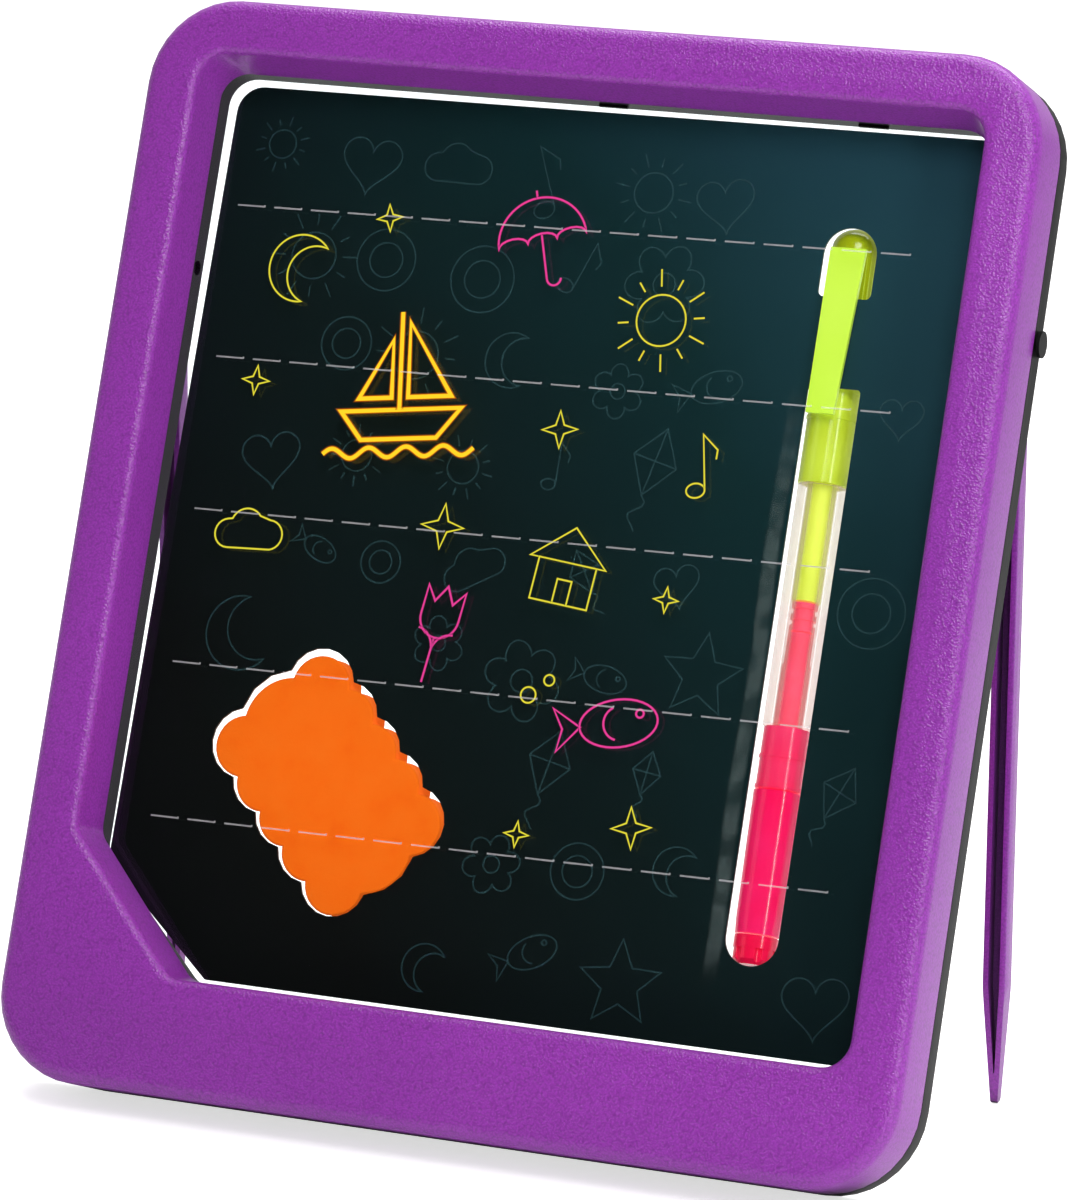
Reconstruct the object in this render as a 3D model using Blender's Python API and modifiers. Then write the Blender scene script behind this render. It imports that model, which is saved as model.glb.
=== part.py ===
"""Glow drawing board on two folding legs, with a marker pen and a wiping pad held in its insert card.

Board coordinates: x to the right, y from the front face to the back, z up the board.
The board leans back on its legs, so all of its pieces hang under one tilted empty.
"""

import math

import bmesh
import bpy
from mathutils import Matrix, Vector

# Shared clearances, in metres
GAP = 0.0003
OVERRUN = 0.0010
MERGE_SHARE = 0.01

# Rounding: sides of a full circle, the step along an outline's arcs, and angles that tell edges apart
WIDE_SIDES = 32
ROUND_SIDES = 24
SMALL_SIDES = 16
TINY_SIDES = 12
FILLET_STEPS = 4
EDGE_STEPS = 3
ARC_STEP_DEG = 10.0
SHARP_ANGLE_DEG = 35.0
RIM_ANGLE_DEG = 45.0
FLAT_ANGLE_DEG = 0.5
RIM_PROFILE_SHARE = 0.5
ROUND_END_SHARE = 0.98

# Board outline
BOARD_WIDTH = 0.1934
BOARD_HEIGHT = 0.2250
BOARD_CORNER = 0.0185
BOARD_DEPTH = 0.0210

# Front bezel
BEZEL_DEPTH = 0.0150
BEZEL_FILLET = 0.0030
BEZEL_FACE = 0.0022
BEZEL_WALL = 0.0016
LIP_FILLET = 0.0019
SIDE_RAIL = 0.0117
TOP_RAIL = 0.0116
BOTTOM_RAIL = 0.0238
SIDE_DRAFT = 0.0011
TOP_DRAFT = 0.0019
BOTTOM_DRAFT = 0.0004
OPENING_DEPTH = 0.0108
OPENING_WALL = 0.0018
OPENING_CORNER = 0.0060
CHAMFER_ACROSS = 0.0257
CHAMFER_UP = 0.0277
CHAMFER_BLEND = 0.0050

# Clear drawing panel
PANEL_THICKNESS = 0.0018
PANEL_MARGIN = 0.0034
PANEL_FOOT = 0.0012

# Insert card and its cut-outs
CARD_THICKNESS = 0.0005
CARD_SETBACK = 0.0024
CARD_INSET = 0.0149
CARD_SKEW = 0.0018
CARD_SIDE_GAP = 0.0004
CARD_FOOT_GAP = 0.0009
CARD_TOP_DROP = 0.0151
CARD_TOP_RISE = 0.0008
CARD_CORNER = 0.0057
CARD_SHARP_CORNER = 0.0006
CARD_CHAMFER_ACROSS = 0.0255
CARD_CHAMFER_UP = 0.0215
SLOT_INSET = 0.0397
SLOT_WIDTH = 0.0111
SLOT_FOOT = 0.0004
SLOT_HEIGHT = 0.1162
SLOT_CORNER = 0.0009
BRIDGE_HEIGHT = 0.0182
WINDOW_INSET = 0.0406
WINDOW_WIDTH = 0.0112
WINDOW_HEIGHT = 0.0142
WINDOW_CORNER = 0.0012

# Scalloped pad and the matching hole in the card
PAD_INSET = 0.0590
PAD_Z = 0.0674
PAD_TURN_DEG = -46.5
PAD_HALF_LENGTH = 0.0224
PAD_END_HALF = 0.0064
PAD_HALF_WIDTH = 0.0144
PAD_SCALLOP = 0.0089
PAD_THICKNESS = 0.0070
PAD_SETBACK = 0.0015
PAD_HOLE_GAP = 0.0012
PAD_HOLE_ASIDE = 0.0004
PAD_HOLE_LIFT = 0.0007
SIDE_BULGE_SHARE = 0.24
END_BULGE_SHARE = 0.18
CORNER_BULGE_SHARE = 0.47

# Rear cover
COVER_SKIN = 0.0020
COVER_FILLET = 0.0010
COVER_SIDE = 0.0102
COVER_TOP = 0.01245
COVER_BOTTOM = 0.0242
COVER_CHAMFER_ACROSS = 0.0251
COVER_CHAMFER_UP = 0.0243
COVER_WALL = 0.0011
COVER_RIM_GAP = 0.0003
CATCH_WIDTH = 0.0062
CATCH_DROP = 0.0006
CATCH_DEPTH = 0.0008
CATCH_SETBACK = 0.0028
CATCH_PITCH = 0.0560
CATCH_COUNT = 2

# Folding legs
LEG_FOOT = 0.0133
LEG_WIDTH = 0.0048
LEG_FRONT = 0.0024
LEG_BACK = 0.0021
LEG_WALL = 0.0012
LEG_TOP = 0.0023
LEG_TOP_RADIUS = 0.0019
LEG_TIP_RADIUS = 0.0010
LEG_TIP_CORNER = 0.0005
LEG_TAPER_LENGTH = 0.0260
LEG_SIDE_TAPER = 0.00165
LEG_EDGE = 0.0003
LEG_CLOSED_END = 0.0068
CHANNEL_TIP = 0.0001
LEG_OPEN_DEG = 21.9
LEG_INSET = 0.00225
PIVOT_DROP = 0.0537
PIVOT_SETBACK = 0.0028
PIVOT_RADIUS = 0.0013
PIVOT_HOLE_GAP = 0.0003
PIVOT_HEAD_RADIUS = 0.0027
PIVOT_HEAD_HEIGHT = 0.0007
TROUGH_FLOOR = 0.0013
TROUGH_WALL = 0.0021
TROUGH_END = 0.0009

# Case screws and their bosses
SCREW_RADIUS = 0.0012
SCREW_HEAD_RADIUS = 0.0024
SCREW_HEAD = 0.0012
SCREW_LENGTH = 0.0090
SCREW_SINK = 0.0002
BOSS_RADIUS = 0.0028
BOSS_TIP_GAP = 0.0004
PAD_RADIUS = 0.0037
PAD_HEIGHT = 0.0024
TOP_SCREW_INSET = 0.0367
TOP_SCREW_DROP = 0.0062
SIDE_SCREW_INSET = 0.0061
SIDE_SCREW_DROP = 0.0350
LOW_SCREW_INSET = 0.0162
LOW_SCREW_Z = 0.0085
RECESS_WIDTH = 0.0006
RECESS_LENGTH = 0.0026
TINY_RECESS_LENGTH = 0.0013

# Batteries, their tray and its door
CELL_RADIUS = 0.00525
CELL_LENGTH = 0.0445
CELL_NUB_RADIUS = 0.0019
CELL_NUB = 0.0010
CONTACT_THICKNESS = 0.0005
CONTACT_WIDTH = 0.0084
SPRING_LENGTH = 0.0050
SPRING_RADIUS = 0.0030
SPRING_TIP_SHARE = 0.55
SPRING_WIRE = 0.0004
SPRING_TURNS = 4
SPRING_STEPS = 10
TRAY_Z = 0.0092
TRAY_WALL = 0.0011
TRAY_CLEAR = 0.0004
DOOR_THICKNESS = 0.0013
DOOR_LEDGE = 0.0013
DOOR_GRIP_WIDTH = 0.0012
DOOR_GRIP_COUNT = 5
DOOR_GRIP_PITCH = 0.0026
DOOR_GRIP_DEPTH = 0.0005
DOOR_TONGUE = 0.0046
DOOR_BOSS_RADIUS = 0.0022
DOOR_BOSS_HEIGHT = 0.0030

# Circuit board, switch and mode button
CIRCUIT_INSET = 0.0102
CIRCUIT_WIDTH = 0.0130
CIRCUIT_BOTTOM = 0.0145
CIRCUIT_HEIGHT = 0.0165
CIRCUIT_THICKNESS = 0.0012
CIRCUIT_SETBACK = 0.0070
POST_RADIUS = 0.0019
POST_INSET = 0.0022
TINY_SCREW_RADIUS = 0.0007
TINY_HEAD_RADIUS = 0.0014
TINY_HEAD = 0.0008
SWITCH_SIZE = 0.0050
SWITCH_HEIGHT = 0.0022
PLUNGER_RADIUS = 0.0014
PLUNGER_HEIGHT = 0.0006
BUTTON_RADIUS = 0.0035
BUTTON_FLANGE = 0.0008
BUTTON_FLANGE_THICKNESS = 0.0008
BUTTON_PROUD = 0.0009
BUTTON_FILLET = 0.0004
BUTTON_TRAVEL = 0.0005
BUTTON_GUIDE_GAP = 0.0003
CHIP_WIDTH = 0.0040
CHIP_HEIGHT = 0.0050
CHIP_THICKNESS = 0.0012

# Light strip under the panel
STRIP_END_ROOM = 0.0085
STRIP_WIDTH = 0.0034
STRIP_THICKNESS = 0.0010
LAMP_WIDTH = 0.0035
LAMP_DEPTH = 0.0022
LAMP_HEIGHT = 0.0014
LAMP_COUNT = 6

# Wires
WIRE_RADIUS = 0.0005
WIRE_BEND = 0.0020
WIRE_SPREAD = 0.0007
WIRE_LANE = 0.0014
WIRE_RISE = 0.0016

# Marker pen, from the foot of the slot to the head of the window
PEN_FOOT = 0.0426
PEN_HEAD_DROP = 0.0331
PEN_FOOT_SHIFT = 0.0001
PEN_HEAD_SHIFT = 0.0011
PEN_FOOT_DEPTH = 0.0030
PEN_HEAD_DEPTH = 0.0071
PEN_RADIUS = 0.0050
NECK_RADIUS = 0.0040
NECK_REACH = 0.0115
BARREL_BORE = 0.0031
CAP_BORE = 0.0043
CAP_END = 0.0030

# Inside the barrel: two ink fillings and the ribbed divider between them
INK_RADIUS = 0.0029
INK_MEETING_SHARE = 0.52
DIVIDER_LENGTH = 0.0058
DIVIDER_RADIUS = 0.0022
DIVIDER_RIB = 0.0004
DIVIDER_RIBS = 3
PINK_NARROW_RADIUS = 0.0026
PINK_NARROW_LENGTH = 0.0064
NIB_RADIUS = 0.0016
NIB_TIP_RADIUS = 0.0006
NIB_LENGTH = 0.0090
NIB_CONE_LENGTH = 0.0036

# Pink end, with heights from the pen's lower end
PINK_CAP_TOP = 0.0346
PINK_RADIUS = 0.00485
PINK_END_RADIUS = 0.0046
HOLDER_TOP = 0.0474
HOLDER_RADIUS = 0.0046
HOLDER_WALL = 0.0006
HOLDER_NECK_RADIUS = 0.0038
HOLDER_NECK_REACH = 0.0052
HOLDER_RINGS = (0.0418, 0.0358)
RING_STEP = 0.0002
RING_LENGTH = 0.0006
PLUG_TOP = 0.0060
PLUG_STEP_HEIGHT = 0.0032
PLUG_ROUND = 0.0010
FLUTE_COUNT = 6
FLUTE_RADIUS = 0.0008

# Yellow cap and its clip, with lengths from the pen's upper end
YELLOW_RADIUS = 0.0051
YELLOW_CAP_LENGTH = 0.0525
YELLOW_COLLAR_DROP = 0.0329
YELLOW_RING_DROP = 0.0388
DOME_HEIGHT = 0.0042
DOME_STEPS = 6
CLIP_THICKNESS = 0.0010
CLIP_STANDOFF = 0.0071
CLIP_TOP_WIDTH = 0.0075
CLIP_TIP_WIDTH = 0.0058
CLIP_TOP_DROP = 0.0055
CLIP_TIP_DROP = 0.0393
CLIP_ROOT_HEIGHT = 0.0060
CLIP_ROOT_WIDTH = 0.00375
CLIP_TOP_SHIFT = 0.0009
CLIP_TIP_SHIFT = -0.0002

# Worked-out places
HALF_WIDTH = BOARD_WIDTH / 2
PANEL_Y = OPENING_DEPTH + GAP
PANEL_BACK = PANEL_Y + PANEL_THICKNESS
CARD_Y = PANEL_BACK + CARD_SETBACK
CARD_BACK = CARD_Y + CARD_THICKNESS
COVER_RIM_Y = BEZEL_DEPTH + COVER_RIM_GAP
COVER_WALL_Y = PANEL_BACK + GAP
SKIN_Y = BOARD_DEPTH - COVER_SKIN
CIRCUIT_LEFT = -HALF_WIDTH + CIRCUIT_INSET
CIRCUIT_Y = SKIN_Y - CIRCUIT_SETBACK
STRIP_LENGTH = 2 * (HALF_WIDTH - CIRCUIT_INSET - CIRCUIT_WIDTH - STRIP_END_ROOM)
PIVOT_Y = BOARD_DEPTH - PIVOT_SETBACK
PIVOT_Z = BOARD_HEIGHT - PIVOT_DROP
LEG_LENGTH = PIVOT_Z - LEG_FOOT
LEG_X = HALF_WIDTH - LEG_INSET - LEG_WIDTH / 2
TROUGH_Y = PIVOT_Y - LEG_FRONT - GAP
TRAY_FRONT = BOARD_DEPTH - COVER_SKIN - GAP - 2 * (CELL_RADIUS + TRAY_CLEAR)
CELL_Y = TRAY_FRONT + TRAY_CLEAR + CELL_RADIUS
TRAY_HALF_HEIGHT = CELL_RADIUS + TRAY_CLEAR
TRAY_EXTRA = SPRING_LENGTH + 2 * CONTACT_THICKNESS + 4 * GAP
RAIL_END = LOW_SCREW_INSET + SCREW_HEAD_RADIUS + DOOR_TONGUE + DOOR_LEDGE + 3 * GAP
CELL_COUNT = int((BOARD_WIDTH - 2 * RAIL_END - TRAY_EXTRA) / (CELL_LENGTH + GAP))
TRAY_LENGTH = CELL_COUNT * (CELL_LENGTH + GAP) + TRAY_EXTRA
TRAY_HALF_LENGTH = TRAY_LENGTH / 2
PAD_X = -HALF_WIDTH + PAD_INSET
SLOT_X = HALF_WIDTH - SLOT_INSET
SLOT_BOTTOM = PEN_FOOT - SLOT_FOOT
SLOT_TOP = SLOT_BOTTOM + SLOT_HEIGHT
WINDOW_X = HALF_WIDTH - WINDOW_INSET
WINDOW_BOTTOM = SLOT_TOP + BRIDGE_HEIGHT
PEN_LENGTH = BOARD_HEIGHT - PEN_HEAD_DROP - PEN_FOOT
PEN_BOTTOM_X = SLOT_X - PEN_FOOT_SHIFT
PEN_BOTTOM_Y = CARD_Y + PEN_FOOT_DEPTH
PEN_TOP_X = WINDOW_X - PEN_HEAD_SHIFT
PEN_TOP_Y = CARD_Y + PEN_HEAD_DEPTH
YELLOW_BOTTOM = PEN_LENGTH - YELLOW_CAP_LENGTH
YELLOW_COLLAR = PEN_LENGTH - YELLOW_COLLAR_DROP
YELLOW_RING = PEN_LENGTH - YELLOW_RING_DROP
INK_MEETING = HOLDER_TOP + (YELLOW_BOTTOM - HOLDER_TOP) * INK_MEETING_SHARE

MODEL_NAME = "glow_drawing_board"


def clear_scene():
    for obj in list(bpy.data.objects):
        bpy.data.objects.remove(obj)


def new_collection(name):
    collection = bpy.data.collections.new(name)
    bpy.context.scene.collection.children.link(collection)
    return collection


def material(name, colour, roughness, metallic=0.0, alpha=1.0):
    made = bpy.data.materials.new(name)
    made.use_nodes = True
    shader = made.node_tree.nodes["Principled BSDF"]
    shader.inputs["Base Color"].default_value = (*colour, 1.0)
    shader.inputs["Roughness"].default_value = roughness
    shader.inputs["Metallic"].default_value = metallic
    shader.inputs["Alpha"].default_value = alpha
    return made


def shade(mesh):
    mesh.shade_smooth()
    mesh.set_sharp_from_angle(angle=math.radians(SHARP_ANGLE_DEG))


def as_part(mesh, name, look, parent):
    """A visible sub-part, placed under its parent empty."""
    mesh.name = name
    obj = bpy.data.objects.new(name, mesh)
    PARTS.objects.link(obj)
    obj.data.materials.clear()
    obj.data.materials.append(look)
    obj.parent = parent
    shade(obj.data)
    return obj


def as_tool(mesh, name, parent):
    """A hidden helper for a Boolean, in the same space as the part that it shapes."""
    obj = bpy.data.objects.new(name, mesh)
    CUTTERS.objects.link(obj)
    obj.parent = parent
    obj.hide_render = True
    obj.display_type = "WIRE"
    return obj


def combine(target, mesh, name, operation="DIFFERENCE"):
    tool = as_tool(mesh, target.name + "_" + name, target.parent)
    tool.location = target.location
    tool.rotation_euler = target.rotation_euler
    boolean = target.modifiers.new(name, "BOOLEAN")
    boolean.operation = operation
    boolean.solver = "EXACT"
    boolean.object = tool


def rounded_outline(corners, radii):
    """Points round a polygon, each corner an arc of its own radius."""
    points = []
    count = len(corners)
    for i in range(count):
        corner = Vector(corners[i])
        to_last = (Vector(corners[i - 1]) - corner).normalized()
        to_next = (Vector(corners[(i + 1) % count]) - corner).normalized()
        turn = math.pi - to_last.angle(to_next)
        radius = radii[i]
        if radius <= 0:
            points.append(tuple(corner))
            continue
        tangent = radius * math.tan(turn / 2)
        start = corner + to_last * tangent
        centre = corner + (to_last + to_next).normalized() * (radius / math.cos(turn / 2))
        side = math.copysign(1.0, to_last.x * to_next.y - to_last.y * to_next.x)
        steps = max(2, round(math.degrees(turn) / ARC_STEP_DEG))
        arm = start - centre
        for k in range(steps + 1):
            angle = -side * turn * k / steps
            spun = Vector(
                (
                    arm.x * math.cos(angle) - arm.y * math.sin(angle),
                    arm.x * math.sin(angle) + arm.y * math.cos(angle),
                )
            )
            points.append(tuple(centre + spun))
    return points


def offset_corners(corners, distance):
    """The corners of an anticlockwise polygon with each side moved outwards."""
    count = len(corners)
    moved = []
    for i in range(count):
        here = Vector(corners[i])
        into = (here - Vector(corners[i - 1])).normalized()
        out = (Vector(corners[(i + 1) % count]) - here).normalized()
        normal_in = Vector((into.y, -into.x))
        normal_out = Vector((out.y, -out.x))
        along = (normal_in + normal_out) / (1 + normal_in.dot(normal_out))
        moved.append(tuple(here + along * distance))
    return moved


def box_outline(left, right, bottom, top, radius=0.0):
    corners = [(left, bottom), (right, bottom), (right, top), (left, top)]
    return rounded_outline(corners, [radius] * 4)


PLANES = {
    "XZ": Matrix(((1, 0, 0, 0), (0, 0, -1, 0), (0, 1, 0, 0), (0, 0, 0, 1))),
    "YZ": Matrix(((0, 0, 1, 0), (1, 0, 0, 0), (0, 1, 0, 0), (0, 0, 0, 1))),
    "XY": Matrix.Identity(4),
}


def prism(outlines, low, high, plane="XZ"):
    """A flat outline, with any holes, extruded between two depths."""
    curve = bpy.data.curves.new("outline", "CURVE")
    curve.dimensions = "2D"
    curve.fill_mode = "BOTH"
    curve.extrude = (high - low) / 2
    for outline in outlines:
        spline = curve.splines.new("POLY")
        spline.points.add(len(outline) - 1)
        for point, (a, b) in zip(spline.points, outline):
            point.co = (a, b, 0, 1)
        spline.use_cyclic_u = True
    holder = bpy.data.objects.new("outline", curve)
    mesh = bpy.data.meshes.new_from_object(holder)
    bpy.data.objects.remove(holder)
    bpy.data.curves.remove(curve)
    middle = (low + high) / 2
    sign = -1 if plane == "XZ" else 1
    mesh.transform(PLANES[plane] @ Matrix.Translation((0, 0, sign * middle)))
    clean(mesh)
    return mesh


def clean(mesh):
    bm = bmesh.new()
    bm.from_mesh(mesh)
    bmesh.ops.remove_doubles(bm, verts=bm.verts, dist=GAP * MERGE_SHARE)
    bmesh.ops.recalc_face_normals(bm, faces=bm.faces)
    flat = math.radians(FLAT_ANGLE_DEG)
    bmesh.ops.dissolve_limit(bm, angle_limit=flat, verts=bm.verts, edges=bm.edges)
    bm.to_mesh(mesh)
    bm.free()


def box(low, high):
    bm = bmesh.new()
    bmesh.ops.create_cube(bm, size=1)
    size = Vector(high) - Vector(low)
    bmesh.ops.scale(bm, vec=size, verts=bm.verts)
    bmesh.ops.translate(bm, vec=(Vector(low) + Vector(high)) / 2, verts=bm.verts)
    mesh = bpy.data.meshes.new("box")
    bm.to_mesh(mesh)
    bm.free()
    return mesh


def rod(axis, centre, radius, low, high, sides=ROUND_SIDES):
    """A cylinder along x, y or z between two places on that axis."""
    bm = bmesh.new()
    bmesh.ops.create_cone(
        bm, cap_ends=True, segments=sides, radius1=radius, radius2=radius, depth=high - low
    )
    turn = {"X": Matrix.Rotation(math.pi / 2, 4, "Y"), "Y": Matrix.Rotation(math.pi / 2, 4, "X")}
    bmesh.ops.transform(bm, matrix=turn.get(axis, Matrix.Identity(4)), verts=bm.verts)
    middle = Vector(centre)
    middle["XYZ".index(axis)] = (low + high) / 2
    bmesh.ops.translate(bm, vec=middle, verts=bm.verts)
    mesh = bpy.data.meshes.new("rod")
    bm.to_mesh(mesh)
    bm.free()
    return mesh


def loft(sections):
    """A solid through (depth, outline) sections that all have the same number of points."""
    bm = bmesh.new()
    rings = [[bm.verts.new((x, y, z)) for x, z in outline] for y, outline in sections]
    for near, far in zip(rings, rings[1:]):
        for i in range(len(near)):
            j = (i + 1) % len(near)
            bm.faces.new((near[i], near[j], far[j], far[i]))
    bm.faces.new(rings[0])
    bm.faces.new(rings[-1])
    bmesh.ops.recalc_face_normals(bm, faces=bm.faces)
    mesh = bpy.data.meshes.new("loft")
    bm.to_mesh(mesh)
    bm.free()
    return mesh


def bevel_rim(mesh, depth, width, segments):
    """Rounds the edge between the flat face at one depth and the side walls."""
    bm = bmesh.new()
    bm.from_mesh(mesh)
    near = GAP * MERGE_SHARE
    rim = [
        edge
        for edge in bm.edges
        if all(abs(vert.co.y - depth) < near for vert in edge.verts)
        and edge.calc_face_angle(0) > math.radians(RIM_ANGLE_DEG)
    ]
    bmesh.ops.bevel(
        bm,
        geom=rim,
        offset=width,
        segments=segments,
        profile=RIM_PROFILE_SHARE,
        affect="EDGES",
    )
    bm.to_mesh(mesh)
    bm.free()


def turned(profile, name, look, parent, sides=WIDE_SIDES):
    """A turned piece about its own z axis, from (radius, height) points down its outer side."""
    mesh = bpy.data.meshes.new(name)
    edges = [(i, i + 1) for i in range(len(profile) - 1)]
    mesh.from_pydata([(r, 0, h) for r, h in profile], edges, [])
    obj = as_part(mesh, name, look, parent)
    screw = obj.modifiers.new("turn", "SCREW")
    screw.steps = sides
    screw.render_steps = sides
    screw.use_merge_vertices = True
    screw.merge_threshold = GAP * MERGE_SHARE
    return obj


def wire(points, name, look, parent, radius=WIRE_RADIUS):
    """A round wire along a polyline, as a curve with filled ends."""
    curve = bpy.data.curves.new(name, "CURVE")
    curve.dimensions = "3D"
    curve.bevel_depth = radius
    curve.bevel_resolution = 2
    curve.use_fill_caps = True
    spline = curve.splines.new("POLY")
    spline.points.add(len(points) - 1)
    for point, place in zip(spline.points, points):
        point.co = (*place, 1)
    holder = bpy.data.objects.new(name, curve)
    mesh = bpy.data.meshes.new_from_object(holder)
    bpy.data.objects.remove(holder)
    bpy.data.curves.remove(curve)
    bm = bmesh.new()
    bm.from_mesh(mesh)
    bmesh.ops.remove_doubles(bm, verts=bm.verts, dist=GAP * MERGE_SHARE)
    bmesh.ops.recalc_face_normals(bm, faces=bm.faces)
    bm.to_mesh(mesh)
    bm.free()
    return as_part(mesh, name, look, parent)


def board_outline(inset=0.0):
    left = -HALF_WIDTH + inset
    right = HALF_WIDTH - inset
    return box_outline(left, right, inset, BOARD_HEIGHT - inset, BOARD_CORNER - inset)


def chamfered(half_width, bottom, top, across, up):
    """The five corners of an opening whose lower left corner is cut off."""
    return [
        (-half_width + across, bottom),
        (half_width, bottom),
        (half_width, top),
        (-half_width, top),
        (-half_width, bottom + up),
    ]


def opening_outline(corners, distance=0.0):
    base = [CHAMFER_BLEND, OPENING_CORNER, OPENING_CORNER, OPENING_CORNER, CHAMFER_BLEND]
    return rounded_outline(offset_corners(corners, distance), [r + distance for r in base])


LIP = chamfered(
    HALF_WIDTH - SIDE_RAIL, BOTTOM_RAIL, BOARD_HEIGHT - TOP_RAIL, CHAMFER_ACROSS, CHAMFER_UP
)
DEEP = chamfered(
    HALF_WIDTH - SIDE_RAIL - SIDE_DRAFT,
    BOTTOM_RAIL + BOTTOM_DRAFT,
    BOARD_HEIGHT - TOP_RAIL - TOP_DRAFT,
    CHAMFER_ACROSS - BOTTOM_DRAFT,
    CHAMFER_UP - BOTTOM_DRAFT,
)
REAR_WINDOW = chamfered(
    HALF_WIDTH - COVER_SIDE,
    COVER_BOTTOM,
    BOARD_HEIGHT - COVER_TOP,
    COVER_CHAMFER_ACROSS,
    COVER_CHAMFER_UP,
)
SCREW_PLACES = [
    (-HALF_WIDTH + TOP_SCREW_INSET, BOARD_HEIGHT - TOP_SCREW_DROP),
    (HALF_WIDTH - TOP_SCREW_INSET, BOARD_HEIGHT - TOP_SCREW_DROP),
    (-HALF_WIDTH + SIDE_SCREW_INSET, BOARD_HEIGHT - SIDE_SCREW_DROP),
    (HALF_WIDTH - SIDE_SCREW_INSET, BOARD_HEIGHT - SIDE_SCREW_DROP),
    (-HALF_WIDTH + LOW_SCREW_INSET, LOW_SCREW_Z),
    (HALF_WIDTH - LOW_SCREW_INSET, LOW_SCREW_Z),
]


def make_bezel(parent, look):
    block = prism([board_outline()], 0, BEZEL_DEPTH)
    bevel_rim(block, 0, BEZEL_FILLET, FILLET_STEPS)
    bezel = as_part(block, "front_bezel", look, parent)
    sections = [(-OVERRUN, opening_outline(LIP, LIP_FILLET))]
    for k in range(FILLET_STEPS + 1):
        angle = math.pi / 2 * k / FILLET_STEPS
        depth = LIP_FILLET * (1 - math.cos(angle))
        sections.append((depth, opening_outline(LIP, LIP_FILLET * (1 - math.sin(angle)))))
    sections.append((OPENING_DEPTH, opening_outline(DEEP)))
    sections.append((BEZEL_DEPTH + OVERRUN, opening_outline(DEEP)))
    combine(bezel, loft(sections), "opening")
    hollow = [board_outline(BEZEL_WALL), opening_outline(LIP, OPENING_WALL)]
    combine(bezel, prism(hollow, BEZEL_FACE, BEZEL_DEPTH + OVERRUN), "hollow")
    seat = [board_outline(BEZEL_WALL)]
    combine(bezel, prism(seat, OPENING_DEPTH, BEZEL_DEPTH + OVERRUN), "seat")
    boss_start = BEZEL_FACE / 2
    boss_end = SKIN_Y - PAD_HEIGHT - BOSS_TIP_GAP
    for n, (x, z) in enumerate(SCREW_PLACES, 1):
        boss = rod("Y", (x, 0, z), BOSS_RADIUS, boss_start, boss_end)
        combine(bezel, boss, f"boss_{n}", "UNION")
    hole_start = BOARD_DEPTH - SCREW_SINK - SCREW_HEAD - SCREW_LENGTH - OVERRUN
    for n, (x, z) in enumerate(SCREW_PLACES, 1):
        hole_end = boss_end + OVERRUN
        hole = rod("Y", (x, 0, z), SCREW_RADIUS + GAP, hole_start, hole_end, SMALL_SIDES)
        combine(bezel, hole, f"pilot_{n}")


def make_panel(parent, look):
    lowest = min(z for x, z in DEEP)
    foot = [(x, z - PANEL_FOOT) if z == lowest else (x, z) for x, z in DEEP]
    sheet = prism([opening_outline(foot, PANEL_MARGIN)], PANEL_Y, PANEL_BACK)
    as_part(sheet, "drawing_panel", look, parent)


def meeting(one, other):
    """Where two overlapping circles, each a centre and a radius, meet on the right of the way."""
    (centre, radius), (next_centre, next_radius) = one, other
    apart = next_centre - centre
    along = (apart.length_squared + radius**2 - next_radius**2) / (2 * apart.length)
    across = math.sqrt(radius**2 - along**2)
    way = apart.normalized()
    return centre + way * along + Vector((way.y, -way.x)) * across


def scalloped_outline(grow=0.0, aside=0.0, lift=0.0):
    """The pad's outline: three scallops on each long side, an arc at each end, four corner lobes."""
    half = PAD_SCALLOP / 2
    quarter = [
        (half * 3, -PAD_HALF_WIDTH),
        (PAD_HALF_LENGTH, -PAD_END_HALF),
        (PAD_HALF_LENGTH, PAD_END_HALF),
        (half * 3, PAD_HALF_WIDTH),
        (half, PAD_HALF_WIDTH),
        (-half, PAD_HALF_WIDTH),
    ]
    valleys = [Vector(v) for v in quarter] + [-Vector(v) for v in quarter]
    bulges = [CORNER_BULGE_SHARE, END_BULGE_SHARE, CORNER_BULGE_SHARE] + [SIDE_BULGE_SHARE] * 3
    arcs = []
    for i, start in enumerate(valleys):
        end = valleys[(i + 1) % len(valleys)]
        chord = end - start
        rise = bulges[i % len(bulges)] * chord.length
        radius = (chord.length_squared / 4 + rise * rise) / (2 * rise)
        outward = Vector((chord.y, -chord.x)).normalized()
        arcs.append(((start + end) / 2 + outward * (rise - radius), radius + grow))
    joins = [meeting(arcs[i - 1], arc) for i, arc in enumerate(arcs)]
    turn = Matrix.Rotation(math.radians(PAD_TURN_DEG), 2)
    points = []
    for i, (centre, _) in enumerate(arcs):
        arm = joins[i] - centre
        last = joins[(i + 1) % len(joins)] - centre
        sweep = (math.atan2(last.y, last.x) - math.atan2(arm.y, arm.x)) % (2 * math.pi)
        steps = max(EDGE_STEPS, round(math.degrees(sweep) / (2 * ARC_STEP_DEG)))
        for k in range(steps):
            spun = Matrix.Rotation(sweep * k / steps, 2) @ arm
            points.append(turn @ (centre + spun))
    return [(PAD_X - aside + p.x, PAD_Z + lift + p.y) for p in points]


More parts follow.
